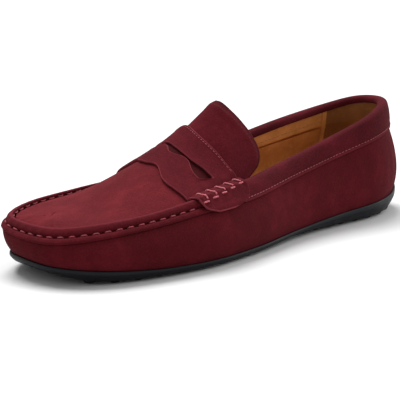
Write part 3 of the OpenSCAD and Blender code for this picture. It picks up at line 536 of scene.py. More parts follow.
def side_wall():
    """The long suede piece round the foot: seat to crease, rolled ridge in front, plain top behind."""
    n = 900
    t = 2 * (np.arange(n) + 0.5) / n
    s = station(t)[:, :, None]
    near = smooth((REACH + 0.01 - np.abs(1 - t)) / 0.02)[:, None]
    pull = stitch_wave(t)[:, None] * near
    ridge = smooth((THROAT + 0.004 - np.abs(1 - t)) / 0.012)[:, None]
    v = np.linspace(-0.04, 0.985, 26)[None]
    out, z = wall(s, v)
    # soft vertical drag lines where the suede is pulled over the last
    wrinkle = (0.16 * np.sin(41 * t[:, None] * np.pi) * np.sin(17 * t[:, None] * np.pi + 1)
               * np.sin(np.pi * np.clip(v, 0, 1)))
    lower = np.stack(np.broadcast_arrays(out + wrinkle, z), -1)
    lip = 1.15 + 0.18 * pull
    groove = -0.1 - 0.6 * (1 - pull) * near
    roll = 1.15 - 0.15 * (1 - pull) * near
    o = np.zeros((n, 1))
    high = band_section(s, [
        (o - 0.02, o - 0.7), (o + 0.0, o - 0.6), (o + 0.0, o + 0.75), (o + 0.05, lip),
        (o + 0.16, lip + 0.05), (o + 0.27, lip - 0.1), (o + 0.35, lip * 0.5), (o + 0.39, groove),
        (o + 0.45, groove), (o + 0.5, roll * 0.5), (o + 0.57, roll), (o + 0.72, roll + 0.15),
        (o + 0.86, roll - 0.1), (o + 0.97, o + 0.55), (o + 1.02, o - 0.3), (o + 0.99, o - 1.2),
        (o + 0.86, o - 1.8), (o + 0.66, o - 2.1), (o + 0.4, o - SUEDE)])
    low = band_section(s, [(o - 0.01, o - 0.2)] + [(o + 0.6 * i / 13, o) for i in range(13)] + [
        (o + 0.6, o - 0.7), (o + 0.6, o - SUEDE), (o + 0.4, o - SUEDE), (o + 0.2, o - SUEDE),
        (o + 0.05, o - SUEDE)])
    upper = lerp(low, high, ridge[..., None])
    v2 = np.linspace(0.95, 0, 10)[None]
    out2, z2 = wall(s, v2)
    inner = np.stack(np.broadcast_arrays(out2 - SUEDE, z2), -1)
    crease = np.stack(np.broadcast_arrays(*[a for a in wall(s, np.array([[0.993]]))]), -1) - [0.25, 0]
    loop = np.concatenate([lower, crease, upper, inner], 1)
    fine = np.concatenate([loop[:, :26], corner_cut(loop[:, 25:46], 2)[:, :-3], loop[:, 46:]], 1)
    points = at(t[:, None], fine[..., 0], fine[..., 1])
    rise = (fine[..., 1] - s[CREASE_Z]) / (s[TOP_Z] - s[CREASE_Z])
    # painted highlight: the edge value rises along the ridge's crest, and more weakly along the lip's top, so
    # the cut colour lightens them as if lit from above
    crest = (np.exp(-((rise - 1.0) / 0.09) ** 2) * ridge * 0.7
             + np.exp(-((rise - 0.19) / 0.06) ** 2) * ridge * 0.25)
    # painted shade: a dark line in the step beside the backstay
    beside = np.abs(np.minimum(t, 2 - t) - BACKSTAY_HALF - 0.0035)[:, None]
    crest = crest - np.exp(-(beside / 0.004) ** 2) * (fine[..., 1] > lerp(s[SEAT], s[CREASE_Z], 0.28))
    piece("side_wall", points, quads(*points.shape[:2], wrap_rows=True, wrap_cols=True), WALL_SUEDE,
          "suede", replaces=("side_wall",), edge=crest)


side_wall()


# ------------------------------------------------------------------ apron, tongue
# Edges of the strap: distance across (1 at the ridge, 2 at the flap's end) and k along the shoe.
FRONT = [[0, 0.376], [0.08, 0.376], [0.2, 0.381], [0.29, 0.381], [0.4, 0.375], [0.52, 0.368],
         [0.64, 0.367], [0.76, 0.370], [0.92, 0.374], [1.05, 0.374], [1.2, 0.379], [1.35, 0.383],
         [1.6, 0.388], [1.85, 0.398], [2, 0.417]]


def apron():
    """The plug over the toes, gathered into the ridge by the running stitches."""
    k = np.concatenate([np.linspace(0, 0.06, 14)[:-1], np.linspace(0.06, TONGUE_START, 90)])[:, None]
    across = np.linspace(-1, 1, 121)
    s = np.sign(across) * (1 - (1 - np.abs(across)) ** 1.3)[None]
    pull = np.where(s < 0, stitch_wave(1 - k), stitch_wave(1 + k)) * (k < REACH)
    reach = np.abs(1 - np.abs(s))
    # gathered towards the toe: the leather rises between the stitches, and dips into the seam
    gather = (0.45 * pull * np.exp(-reach / 0.12) * smooth((0.3 - k) / 0.2) - 0.5 * np.exp(-reach / 0.02)
              + 0.1 * np.sin(9 * np.abs(s) + 30 * k) * smooth(reach / 0.3) * smooth(k / 0.12))

    def place(h):
        return on_crown(k, s, h - SUEDE + gather)
    d = np.minimum(np.abs(1 - np.abs(s)) * 40, (TONGUE_START - k) * 500) + 0 * k
    # painted shade: the apron is coloured darker where it lies under the strap, so the slot shows dark
    painted_slot_shade = smooth((k - curve_through(FRONT, np.abs(s)) - 0.008) / 0.012) * smooth((0.98 - np.abs(s)) / 0.04)
    obj = leather_sheet("apron_plug", place, SUEDE, APRON_SUEDE, "suede", distance=d, tint=-painted_slot_shade,
                        replaces=("apron_plug",), weld=True)
    # pulled tight over the toe: no crease is left where the two halves of the grid meet
    middle = crown(0, 0)
    mesh = bmesh.new()
    mesh.from_mesh(obj.data)
    near = [v for v in mesh.verts if np.hypot(*(np.array(v.co.xy) / MM - middle[:2])) < 13]
    for _ in range(25):
        bmesh.ops.smooth_vert(mesh, verts=near, factor=0.5, use_axis_z=True)
    mesh.to_mesh(obj.data)
    mesh.free()


apron()

TUCK = (5.6, 3)            # the tongue's sides lie this far inside and below the apron's
# The tongue's free end: distance across from its middle, and k along the shoe.
TONGUE_END = [[0, 0.524], [0.18, 0.529], [0.36, 0.537], [0.52, 0.548], [0.74, 0.566], [0.83, 0.572],
              [0.9, 0.571], [0.95, 0.563], [1, 0.535]]


def tongue_end(s):
    return curve_through(TONGUE_END, np.abs(s))


def tongue_grid(first, last_inset, half):
    f = fine_ends(45, 0.8, 1.4)[:, None]
    s = (2 * fine_ends(90, 0.9, 1.4) - 1)[None] * half
    return lerp(first, tongue_end(s) - last_inset, f), s


def tongue():
    """Suede tongue with its lining and the stitches along its free end, all on the tongue's body."""
    k, s = tongue_grid(TONGUE_START + 0.008, 0, 1)
    near_end = np.clip(1 - (tongue_end(s) - k) / 0.012, 0, 1)
    swell = 0.35 * np.exp(-((tongue_end(s) - k - 0.013) / 0.006) ** 2)

    def place(h):
        return on_crown(k, s, h - SUEDE - 0.9 * near_end ** 2 + swell, TUCK)
    # painted shade: the tint darkens the suede over the last millimetres before the free end, where the end
    # rolls down
    leather_sheet("tongue", place, SUEDE, TONGUE_SUEDE, "suede", radius=1.0, body="tongue",
                  tint=-0.7 * smooth(near_end * 1.3), replaces=("tongue",))
    k2, s2 = tongue_grid(TONGUE_START + 0.008, 0.003, 0.96)
    end2 = np.clip(1 - (tongue_end(s2) - k2) / 0.012, 0, 1)

    def under(h):
        return on_crown(k2, s2, h - SUEDE - 0.15 - LINING - 0.9 * end2 ** 2, TUCK)
    leather_sheet("tongue_lining", under, LINING, QUARTER_LEATHER, "tan_leather", body="tongue",
                  replaces=("tongue_lining",))
    n = 44
    parts = []
    for i in range(n):
        share = (i + np.linspace(0.12, 0.88, 9)) / n
        sq = lerp(-0.9, 0.9, share)
        dip = 0.12 - 0.35 * np.abs(np.linspace(-1, 1, 9)) ** 4
        parts.append(tube(on_crown(tongue_end(sq) - 0.0105, sq, dip, TUCK), 0.55, 8, 0.1, 1.5))
    points, faces = bundle(parts)
    piece("tongue_stitching", points, faces, DARK_THREAD, "thread", body="tongue",
          replaces=("tongue_stitching",))


tongue()

# ------------------------------------------------------------------ penny strap
SLOT_FRONT = [[0, 0.427], [0.08, 0.425], [0.18, 0.418], [0.3, 0.420], [0.4, 0.426], [0.5, 0.427],
              [0.62, 0.421], [0.73, 0.419], [0.79, 0.422], [0.82, 0.430], [0.84, 0.442]]
SLOT_REAR = [[0, 0.432], [0.18, 0.430], [0.36, 0.430], [0.52, 0.432], [0.67, 0.438], [0.84, 0.443]]
REAR = [[0, 0.470], [0.26, 0.468], [0.48, 0.471], [0.66, 0.476], [0.81, 0.481], [0.92, 0.487],
        [1, 0.490], [1.25, 0.492], [1.5, 0.491], [1.7, 0.487], [1.88, 0.474], [2, 0.445]]
SLOT_END = 0.84            # the slot ends this far across
WHIPS = 5                  # whip stitches at each end of the strap
WHIP_FROM, WHIP_TO = 0.386, 0.489


def flap(k, q, h, medial):
    """Outside of the ridge: q 1 at the crest to 2 near the crease."""
    t = np.where(medial, 1 + k, 1 - k)
    s = station(t)
    # share of the band, height over it, and how much of the sheet's own height counts there
    stops = [(1.02, -2.9, 0.6), (1.06, -1.9, 0.8), (1.05, -0.4, 0.9), (0.9, 1.15, 1), (0.67, 1.5, 1),
             (0.42, 1.5, 1), (0.19, 1.5, 1), (-0.02, 1.6, 1), (-0.22, 1.1, 1)]
    u = np.clip(q - 1, 0, 1) * (len(stops) - 1)
    path = []
    for w, out, share in stops:
        o, z = band(s, w, out + h * np.clip(share, 0, 1) * (1 if out > -1 else 0))
        path.append((o, z + (h if out <= -1 else 0)))
    o = np.stack([p[0] for p in path])
    z = np.stack([p[1] for p in path])
    i = np.clip(u.astype(int), 0, len(stops) - 2)

    def pick(a, j):
        return np.take_along_axis(a, np.clip(j, 0, len(stops) - 1)[None], 0)[0]
    o = catmull(pick(o, i - 1), pick(o, i), pick(o, i + 1), pick(o, i + 2), u - i)
    z = catmull(pick(z, i - 1), pick(z, i), pick(z, i + 1), pick(z, i + 2), u - i)
    return at(t, o, z)


def strap_place(k, q, h):
    """Point of the strap: |q| up to 1 over the crown, up to 2 down the flap."""
    k, q, h = np.broadcast_arrays(np.asarray(k, float), np.asarray(q, float), np.asarray(h, float))
    a = np.abs(q)
    over = on_crown(k, np.clip(q, -1, 1), h)
    down = flap(k, np.maximum(a, 1), h, q > 0)
    f = smooth((a - 0.9) / 0.1)[..., None]
    return lerp(over, down, f)


def whip_puff(k, a):
    """The strap swells between the whip stitches where they bind it to the ridge."""
    phase = (k - WHIP_FROM) / (WHIP_TO - WHIP_FROM) * WHIPS
    inside = smooth((k - WHIP_FROM + 0.004) / 0.006) * smooth((WHIP_TO + 0.004 - k) / 0.006)
    lean = phase - 0.4 * (np.clip((a - 0.95) / 0.6, 0, 1) - 0.5)
    pinch = np.exp(-(np.abs(lean % 1 - 0.5) / 0.13) ** 2)
    return inside * np.exp(-((a - 1.22) / 0.26) ** 4) * (0.6 - 1.25 * pinch)


def penny_strap():
    """The strap over the apron, cut through by the slot, its two ends folded down over the ridge."""
    half = np.concatenate([np.linspace(0, 0.74, 56), np.linspace(0.74, 0.84, 22)[1:],
                           np.linspace(0.84, 1, 18)[1:], 1 + fine_ends(30, 0.55, 1.2)[6:]])
    q = np.concatenate([-half[:0:-1], half])[None]
    a = np.abs(q)
    inside = a < SLOT_END - 1e-9
    f = fine_ends(14, 0.7, 0.9)[:, None]
    # past the slot, the front and rear halves of the grid meet on the strap's own middle line
    halfway = (curve_through(FRONT, a) + curve_through(REAR, a)) / 2
    meet = curve_through(SLOT_REAR, np.minimum(a, SLOT_END))
    meet = np.where(a > SLOT_END, lerp(meet, halfway, smooth((a - SLOT_END) / 0.3)), meet)
    slot_front = np.where(inside, curve_through(SLOT_FRONT, np.minimum(a, SLOT_END)), meet)
    slot_rear = np.where(inside, curve_through(SLOT_REAR, a), meet)
    front_k = lerp(curve_through(FRONT, a), slot_front, f)
    rear_k = lerp(slot_rear, curve_through(REAR, a), f)
    k = np.concatenate([front_k, rear_k])
    n = len(f)
    q = np.broadcast_to(q, k.shape)
    middle = strap_place(k, q, STRAP_LIFT + STRAP / 2)
    runs = [np.cumsum(np.linalg.norm(np.diff(m, axis=0), axis=-1), 0) for m in (middle[:n], middle[n:])]
    d_front, d_rear = [np.concatenate([np.zeros((1, run.shape[1])), run]) for run in runs]
    past = np.clip(np.abs(q[0]) - SLOT_END, 0, 1) * 40
    outer = np.concatenate([d_front, d_rear[-1] - d_rear])
    slot = np.concatenate([np.hypot(d_front[-1] - d_front, past), np.hypot(d_rear, past)])
    tip = (2 - np.abs(q)) * 13
    d = np.minimum(np.minimum(outer, slot), tip)
    e = roundness(d, 0.8)
    puff = whip_puff(k, np.abs(q))
    raise_edge = (0.15 * np.exp(-(d / 1.6) ** 2)
                  + 0.35 * np.exp(-(np.minimum(slot, 9) / 2.2) ** 2) * smooth((a - 0.5) / 0.3))
    top = strap_place(k, q, STRAP_LIFT + STRAP / 2 * (1 + e) + puff + raise_edge)
    under = strap_place(k, q, STRAP_LIFT + STRAP / 2 * (1 - e) + np.minimum(puff, 0) * 0.2)
    cells = quads(*k.shape)
    row = cells[:, 0] // k.shape[1]
    cells = cells[row != n - 1]
    total = k.size
    points = np.concatenate([top.reshape(-1, 3), under.reshape(-1, 3)])
    edge = np.clip(1 - d / 1.0, 0, 1)
    piece("penny_strap", points, np.concatenate([cells, cells[:, ::-1] + total]), STRAP_SUEDE, "suede",
          replaces=("penny_strap",), edge=np.stack([edge, edge]), weld=True)


penny_strap()


def strap_threads():
    """The stitched line along the strap's rear edge, and the whip stitches that hold its two ends."""
    n = 40
    parts = []
    for i in range(n):
        share = (i + np.linspace(0.1, 0.8, 7)) / n
        q = lerp(-0.88, 0.88, share)
        dip = 0.03 - 0.25 * np.abs(np.linspace(-1, 1, 7)) ** 4
        k = curve_through(REAR, np.abs(q)) - 0.0035
        parts.append(tube(strap_place(k, q, STRAP_LIFT + STRAP + dip), 0.42, 8))
    points, faces = bundle(parts)
    piece("strap_stitching", points, faces, PALE_THREAD, "thread", replaces=("strap_stitching",))
    step = (WHIP_TO - WHIP_FROM) / WHIPS
    for side, name in ((-1, "whip_stitching_lateral"), (1, "whip_stitching_medial")):
        parts = []
        for i in range(WHIPS):
            k0 = WHIP_FROM + step * (i + 0.5)
            # the slanted bar over the ridge and down the flap, then the short one along its lower end
            f = np.linspace(0, 1, 22)
            low = lerp(1.56, 1.36, i / (WHIPS - 1))
            q = side * lerp(0.96, low - 0.04, f)
            k = k0 - step * 0.2 * (1 - 2 * f)
            h = STRAP_LIFT + STRAP + 0.15 + 0.25 * np.sin(np.pi * f) - 1.2 * np.abs(2 * f - 1) ** 8
            parts.append(tube(strap_place(k, q, h), 1.15, 12, 0.13, 3))
            f = np.linspace(0, 1, 16)
            k = k0 + step * (0.22 - 0.55 * f)
            h = STRAP_LIFT + STRAP + 0.25 - 1.1 * np.abs(2 * f - 1) ** 8
            parts.append(tube(strap_place(k, side * (low + 0.02 + 0 * f), h), 0.95, 12, 0.13, 2.5))
        points, faces = bundle(parts)
        piece(name, points, faces, WHIP_THREAD, "thread", replaces=(name,))


strap_threads()


def apron_threads():
    """The running stitches in the ridge's groove."""
    parts = []
    for i in range(STITCHES):
        f = np.linspace(0, 1, 15)
        t = seam_t((i + lerp(0.22, 0.78, f)) / STITCHES)
        s = station(t)
        h = 0.55 - 1.5 * np.abs(2 * f - 1) ** 5
        parts.append(tube(at(t, *band(s, GROOVE - 0.02, h)), 0.85, 10, 0.13, 3))
        # the same thread inside the ridge, over the apron, between the outside stitches
        if i < STITCHES - 1:
            t = seam_t((i + 0.5 + lerp(0.22, 0.78, f)) / STITCHES)
            h = -2.0 + 1.1 * np.abs(2 * f - 1) ** 5
            parts.append(tube(at(t, *band(station(t), 0.9, h)), 0.85, 10, 0.13, 2))
    points, faces = bundle(parts)
    piece("apron_stitching", points, faces, THREAD, "thread", replaces=("apron_stitching",))


apron_threads()


# ------------------------------------------------------------------ collar
def collar():
    """Padded suede roll round the foot's opening, from one end of the ridge to the other."""
    t = np.linspace(-(1 - THROAT), 1 - THROAT, 620)
    s = station(t)[:, :, None]
    b = band_length(s)
    plump = 0.55 * smooth((1 - THROAT - np.abs(t)) / 0.05) + 0.12 * np.sin(23 * t + 1) * np.sin(11 * t)
    plump = plump[:, None]
    o = np.zeros((len(t), 1))
    c = 1.2                # thickness of the collar's suede
    # round the section in mm: hem, outside, over the top, down inside, and back under the pad
    pairs = [(o - 0.9, o + 0.35), (o - 1.0, o + 1.15), (o - 0.2, o + 1.4), (b * 0.12, o + 1.2 + plump * 0.3),
             (b * 0.3, 1.35 + plump), (b * 0.55, 1.4 + plump * 1.1), (b - 3.5, 1.35 + plump * 0.8),
             (b - 1.4, 0.95 + plump * 0.5), (b - 0.2, o - 0.1), (b + 0.35, o - 1.7), (b - 0.1, o - 3.6),
             (b - 1.2, o - 4.8), (b - 2.6, o - 5.3), (b - 3.8, o - 5.4), (b - 4.2, o - 5.0),
             (b - 3.8, o - 5.4 + c), (b - 2.2, o - 5.3 + c), (b - 1.3, o - 3.6), (b - 1.2, o - 1.8),
             (b - 2.0, o - 0.4), (b - 3.0, 1.4 - c + o), (b * 0.4, 1.4 - c + o), (o - 0.2, 0.3 + o)]
    loop = corner_cut(band_section(s, [(w / b, h) for w, h in pairs]), 2)
    points = at(t[:, None], loop[..., 0], loop[..., 1])
    rows, cols = points.shape[:2]
    faces = [list(f) for f in quads(rows, cols, wrap_cols=True)]
    faces += [list(range(cols)), list(range((rows - 1) * cols, rows * cols))]
    hem = np.zeros((rows, cols))
    hem[:, 2:9] = 0.5
    obj = piece("collar_binding", points, faces, COLLAR_SUEDE, "suede", edge=hem,
                replaces=("collar_binding", "collar_foam"))
    parts = []
    n = 150
    for i in range(1, n - 1):
        f = np.linspace(0.08, 0.78, 7)
        tt = lerp(t[0], t[-1], (i + f) / n)
        ss = station(tt)
        bb = band_length(ss)
        dip = 1.5 - 0.4 * np.abs(np.linspace(-1, 1, 7)) ** 4
        parts.append(tube(at(tt, *band(ss, 1.0 / bb, dip)), 0.45, 8))
    points, faces = bundle(parts)
    piece("collar_stitching", points, faces, PALE_THREAD, "thread", replaces=("collar_stitching",))


collar()


# ------------------------------------------------------------------ backstay
def backstay():
    """The suede strip up the back of the heel, tucked under the collar, with its two rows of stitches."""
    t = lerp(-BACKSTAY_HALF, BACKSTAY_HALF, fine_ends(21, 0.8, 1))[None]
    rows = fine_ends(32, 0.8, 1)
    stops = [("wall", 0.3), ("wall", 0.45), ("wall", 0.6), ("wall", 0.75), ("wall", 0.88),
             ("band", -0.05), ("band", 0.12), ("band", 0.34)]
    s = station(t)

    def place(h):
        h = np.broadcast_to(h, (len(rows), t.shape[1])) if np.ndim(h) < 2 else h
        path = []
        for kind, share in stops:
            if kind == "wall":
                out, z = wall(s, share)
                out = out + 0.2
            else:
                out, z = band(s, share, 1.75 if share > 0 else 1.5)
            path.append(np.stack([out + 0 * t, z + 0 * t], -1)[0])
        path = np.stack(path)
        lines = np.stack([smooth_path(path[:, j], 60) for j in range(path.shape[1])], 1)
        at_row = lines[(rows * 59).round().astype(int)]
        return at(t + 0 * at_row[..., 0], at_row[..., 0] + h, at_row[..., 1])
    leather_sheet("backstay", place, 1.3, COLLAR_SUEDE, "suede", replaces=("backstay",))
    parts = []
    for edge in (-BACKSTAY_HALF * 0.78, BACKSTAY_HALF * 0.78):
        for i in range(18):
            f = np.linspace(0.1, 0.8, 6)
            tt = edge + 0 * f
            out, z = wall(station(tt), lerp(0.36, 0.92, (i + f) / 18))
            parts.append(tube(at(tt, out + 1.45, z), 0.45, 8))
    points, faces = bundle(parts)
    piece("backstay_stitching", points, faces, PALE_THREAD, "thread", replaces=("backstay_stitching",))


backstay()


# ------------------------------------------------------------------ linings
def lining_depth(v, padded):
    """Depth of the lining below the suede's outer face: full at the heel, and lying closer low on
    the quarters."""
    full = LINING_DEPTH + 0 * v
    return full if padded else lerp(SUEDE + 0.35, LINING_DEPTH, smooth((v - 0.6) / 0.4))


def lining_strip(name, start, end, padded, material):
    """One smooth lining piece of the quarters or the heel, between two seams."""
    length = abs(end - start) * 360
    t = lerp(start, end, fine_ends(length, 1.6, 0.7))[None]
    s = station(t)
    b = band_length(s)
    v = np.linspace(0.1, 1, 34)[:, None]
    w = np.linspace(0.06, 1, 9)[:, None]

    def place(h):
        h = np.broadcast_to(h, (43, t.shape[1])) if np.ndim(h) < 2 else h
        out, z = wall(s, v)
        out = out - lining_depth(v, padded) - (LINING - h[:34])
        out2, z2 = band(s, w * (1 - 3 / b), -LINING_DEPTH - (LINING - h[34:]))
        return at(t, np.concatenate([out, out2]), np.concatenate([z + 0 * out, z2 + 0 * out2]))
    leather_sheet(name, place, LINING, material, "tan_leather", radius=0.5, replaces=(name,))


lining_strip("quarter_lining_lateral", HEEL_SEAM + 0.002, 1 - THROAT, False, QUARTER_LEATHER)
lining_strip("quarter_lining_medial", 1 + THROAT, 2 - HEEL_SEAM - 0.002, False, QUARTER_LEATHER)
lining_strip("heel_lining", -HEEL_SEAM, HEEL_SEAM, True, HEEL_LEATHER)


def seam_tapes():
    """A narrow folded tape over each lining seam, and the brushed grip patch in the heel."""
    for name, seam in (("seam_tape_lateral", HEEL_SEAM), ("seam_tape_medial", -HEEL_SEAM)):
        t = seam + lerp(-0.0065, 0.0065, fine_ends(4.6, 0.5, 0.8))[None]
        s = station(t)
        v = np.linspace(0.2, 1.28, 44)[:, None]

        def place(h, t=t, s=s, v=v):
            h = np.broadcast_to(h, (len(v), t.shape[1])) if np.ndim(h) < 2 else h
            b = band_length(s)
            out, z = wall(s, np.minimum(v, 1))
            out2, z2 = band(s, np.clip(v - 1, 0, None) / 0.28 * (1 - 3.4 / b), 0)
            high = v > 1
            return at(t, np.where(high, out2, out) - LINING_DEPTH - LINING - 0.08 - h, np.where(high, z2, z))
        leather_sheet(name, place, 0.6, QUARTER_LEATHER, "tan_leather", radius=0.5)
    t = lerp(-HEEL_SEAM + 0.012, HEEL_SEAM - 0.012, fine_ends(150, 1.6, 0.7))[None]
    s = station(t)
    v = fine_ends(48, 1.2, 0.7)[:, None]

    def grip(h):
        h = np.broadcast_to(h, (len(v), t.shape[1])) if np.ndim(h) < 2 else h
        out, z = wall(s, lerp(0.2, 0.8, v))
        return at(t, out - LINING_DEPTH - LINING - 0.06 - h, z + 0 * out)
    leather_sheet("heel_grip", grip, 0.5, GRIP_LEATHER, "tan_leather", radius=0.4)
    parts = []
    for seam in (HEEL_SEAM - 0.0045, HEEL_SEAM + 0.0045, -HEEL_SEAM - 0.0045, -HEEL_SEAM + 0.0045):
        for i in range(16):
            f = np.linspace(0.1, 0.8, 6)
            tt = seam + 0 * f
            out, z = wall(station(tt), lerp(0.3, 0.98, (i + f) / 16))
            parts.append(tube(at(tt, out - LINING_DEPTH - LINING - 0.78, z), 0.42, 8))
    for side in (1, -1):
        for i in range(30):
            f = np.linspace(0.1, 0.8, 6)
            tt = 2 + side * lerp(0.19, 0.5, (i + f) / 30)
            ss = station(tt)
            parts.append(tube(at(tt, *band(ss, 0.32, -LINING_DEPTH - LINING - 0.02)), 0.4, 8))
    points, faces = bundle(parts)
    piece("lining_stitching", points, faces, TAN_THREAD, "thread", replaces=("lining_stitching",))


seam_tapes()


def front_linings():
    """Lining under the apron and behind the front of the side wall."""
    k = np.linspace(0.1, TONGUE_START - 0.008, 60)[:, None]
    s = np.linspace(-0.94, 0.94, 60)[None]

    def place(h):
        return on_crown(k, s, h - SUEDE - 0.4 - LINING + 0 * (k + s))
    leather_sheet("vamp_lining", place, LINING, QUARTER_LEATHER, "tan_leather", radius=0.5,
                  replaces=("vamp_lining",))
    t = np.linspace(1 - THROAT + 0.003, 1 + THROAT - 0.003, 200)[None]
    st = station(t)
    v = np.linspace(0.16, 0.9, 20)[:, None]

    def inner(h):
        out, z = wall(st, v)
        return at(t, out - SUEDE - 1.3 - (LINING - h), z + 0 * out)
    leather_sheet("wall_lining", inner, LINING, QUARTER_LEATHER, "tan_leather", radius=0.5,
                  replaces=("wall_lining",))


front_linings()


# ------------------------------------------------------------------ bottom
def mid_seat(t):
    """Points on the middle line of the seat, for closing rings inwards."""
    inner = lerp(0.2, 0.86, np.abs(1 - t))
    a, b = station(1 - inner), station(1 + inner)
    x, y, seat = [(a[column] + b[column]) / 2 for column in (X, Y, SEAT)]
    return np.stack([x + CENTRE[0], y + CENTRE[1], seat], -1)


def seat_ring(t, inset, share, z):
    """A ring at the seat, inset from the outline and drawn by share towards the middle line."""
    p = at(t, -inset, station(t)[SEAT])
    return lerp(p, mid_seat(t), share) + [0, 0, z]


def ring_object(name, rings, material, slot, replaces):
    points = np.stack(rings)
    m, n = points.shape[:2]
    return piece(name, points, quads(m, n, wrap_cols=True), material, slot, replaces=replaces, weld=True)


def sock():
    """The leather under the foot, on board and foam."""
    t = 2 * np.arange(360) / 360
    low = SUEDE + 0.3 + BOARD_THICK + GLUE_GAP + FOAM_THICK + GLUE_GAP
    rings = [seat_ring(t, 10, share, low + LINING) for share in (1, 0.8, 0.6, 0.4, 0.2, 0)]
    rings += [seat_ring(t, inset, 0, low + LINING - drop)
              for inset, drop in ((6.5, 0), (4.8, 0.05), (4.4, 0.3), (4.4, 0.7))]
    rings += [seat_ring(t, 10, share, low) for share in (0, 0.5, 1)]
    ring_object("sock_lining", rings, SOCK_LEATHER, "tan_leather", ("sock_lining",))


sock()


def rim_out(s, z):
    """How far out the side wall stands at height z."""
    return np.maximum(0, wall(s, (z - s[SEAT]) / (s[CREASE_Z] - s[SEAT]))[0])


def outsole():
    """Rubber cup with a rolled rim, and rows of low pebbles under it."""
    n = 720
    t = 2 * np.arange(n) / n
    s = station(t)
    low = sole_base(s[X])
    top = rim_out(s, s[RIM])

    def ring(out, z):
        return at(t, out, z)
    outside = [(top + 0.3, s[RIM] - 0.5), (top + 0.3, s[RIM]), (top + 0.75, s[RIM] + 0.35),
               (top + 1.3, s[RIM] + 0.15), (top + 1.5, s[RIM] - 0.5),
               ((top + 1.4) * 0.7 + 0.6, lerp(s[RIM], low, 0.3)),
               (1.4 - s[UNDER] * 0.2, lerp(s[SEAT], low, 0.5)),
               (0.9 - s[UNDER] * 0.55, lerp(s[SEAT], low, 0.8)),
               (0.4 - s[UNDER] * 0.85, lerp(s[SEAT], low, 0.96)),
               (-s[UNDER] - 0.6, low), (-s[UNDER] - 3, low)]
    path = np.stack([np.stack([a + 0 * t, b + 0 * t], -1) for a, b in outside], 1)
    fine = np.stack([smooth_path(row, 44) for row in path])
    rings = [seat_ring(t, 10, 1, 0), seat_ring(t, 10, 0, 0), ring(0.2, s[SEAT])]
    rings += [ring(fine[:, j, 0], fine[:, j, 1]) for j in range(44)]
    last = rings[-1]
    for share in (0.3, 0.6, 0.85, 1):
        q = lerp(last, mid_seat(t), share)
        q[:, 2] = sole_base(q[:, 0] - CENTRE[0])
        rings.append(q)
    points = np.stack(rings)
    parts = [(points.reshape(-1, 3), [list(f) for f in quads(*points.shape[:2], wrap_cols=True)])]
    # a pebble's radius in mm, and depth as a share of its height
    profile = np.array([[4.3, -1], [3.75, 0], [3.5, 0.35], [3.2, 0.65], [2.8, 0.87], [2.1, 0.98], [0.9, 1]])
    profile = profile * [1, -PEBBLE_H]
    angle = np.linspace(0, 2 * np.pi, PEBBLE_SIDES, endpoint=False)
    pebble_cells = quads(len(profile), PEBBLE_SIDES, wrap_cols=True)
    pebble_ends = [list(range((len(profile) - 1) * PEBBLE_SIDES, len(profile) * PEBBLE_SIDES)),
                   list(range(PEBBLE_SIDES))]
    margin, pitch, length, toe_gap, heel_gap = 6.5, 12, 278, 22.5, 10.5
    sides = np.linspace(0.03, 0.97, 400)
    for i in range(int((length - toe_gap - heel_gap) / pitch) + 1):
        x = -length / 2 + toe_gap + i * pitch
        ends = []
        for base, sign in ((0, 1), (1, -1)):
            edge = station(base + sides)
            ends.append(edge[Y][np.argmin(np.abs(edge[X] - x))] + sign * margin)
        count = int((ends[1] - ends[0]) // pitch)
        for j in range(count + 1 if count >= 1 else 0):
            y = lerp(ends[0], ends[1], j / count) + CENTRE[1]
            rings = np.stack([np.stack([x + CENTRE[0] + r * np.cos(angle), y + r * np.sin(angle),
                                        0 * angle + sole_base(x) + z], -1) for r, z in profile])
            parts.append((rings.reshape(-1, 3), [list(f) for f in pebble_cells] + pebble_ends))
    points, faces = bundle(parts)
    piece("outsole", points, faces, RUBBER, "rubber", replaces=("outsole",), weld=True)


outsole()


# ------------------------------------------------------------------ CAD pieces that stay
# hidden CAD pieces keep their shape and get their own material
for name, material in (("insole_board", BOARD), ("heel_counter", BOARD), ("toe_puff", BOARD),
                       ("footbed_foam", FOAM)):
    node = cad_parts[name]
    for place in range(len(node.material_slots)):
        node.material_slots[place].material = material


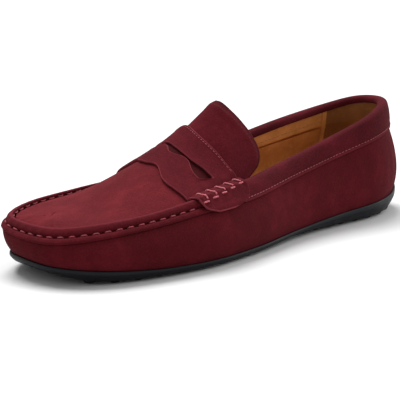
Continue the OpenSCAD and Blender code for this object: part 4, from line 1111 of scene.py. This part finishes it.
# ------------------------------------------------------------------ floor, light, camera
def floor():
    """Pale paper the shoe stands on, without an edge in view."""
    data = bpy.data.meshes.new("floor")
    far = 40
    data.from_pydata([(-far, -far, 0), (far, -far, 0), (far, far, 0), (-far, far, 0)], [], [(0, 1, 2, 3)])
    material = bpy.data.materials.new("floor_paper")
    material.use_nodes = True
    surface = material.node_tree.nodes["Principled BSDF"]
    surface.inputs["Base Color"].default_value = linear("#c4c4c4")
    surface.inputs["Roughness"].default_value = 0.9
    surface.inputs["Specular IOR Level"].default_value = 0.1
    data.materials.append(material)
    obj = bpy.data.objects.new("floor", data)
    bpy.context.scene.collection.objects.link(obj)


floor()
world = bpy.data.worlds.new("studio")
bpy.context.scene.world = world
world.use_nodes = True
background = world.node_tree.nodes["Background"]
background.inputs["Color"].default_value = linear("#ffffff")
background.inputs["Strength"].default_value = 0.6


def soft_sun(name, azimuth, elevation, strength, spread):
    """A broad lamp far away: azimuth as for the camera, in degrees."""
    a, e = np.radians([azimuth, elevation])
    back = Vector((np.sin(a) * np.cos(e), -np.cos(a) * np.cos(e), np.sin(e)))
    lamp = bpy.data.lights.new(name, "SUN")
    lamp.energy = strength
    lamp.angle = np.radians(spread)
    obj = bpy.data.objects.new(name, lamp)
    obj.rotation_euler = back.to_track_quat("Z", "Y").to_euler()
    bpy.context.scene.collection.objects.link(obj)


soft_sun("top_softbox", 165, 64, 4.7, 34)
soft_sun("side_softbox", 75, 30, 2.0, 60)

CAMERA_DISTANCE = 800
camera_data = bpy.data.cameras.new("camera")
camera_data.sensor_width = 36
camera_data.lens = 118.9
camera_data.shift_x = -0.0505
camera_data.shift_y = -0.0285
camera_data.clip_start = 0.01
camera = bpy.data.objects.new("camera", camera_data)
bpy.context.scene.collection.objects.link(camera)
azimuth, elevation, roll = np.radians([-40.18, 12.4, -0.97])
back = Vector((np.sin(azimuth) * np.cos(elevation), -np.cos(azimuth) * np.cos(elevation), np.sin(elevation)))
right = Vector((np.cos(azimuth), np.sin(azimuth), 0))
up = back.cross(right)
right, up = right * np.cos(roll) + up * np.sin(roll), up * np.cos(roll) - right * np.sin(roll)
turn = Matrix((right, up, back)).transposed().to_4x4()
aim = Vector((*CENTRE, 30)) * MM
camera.matrix_world = Matrix.Translation(aim + back * CAMERA_DISTANCE * MM) @ turn
bpy.context.scene.camera = camera
bpy.context.scene.view_settings.view_transform = "Standard"
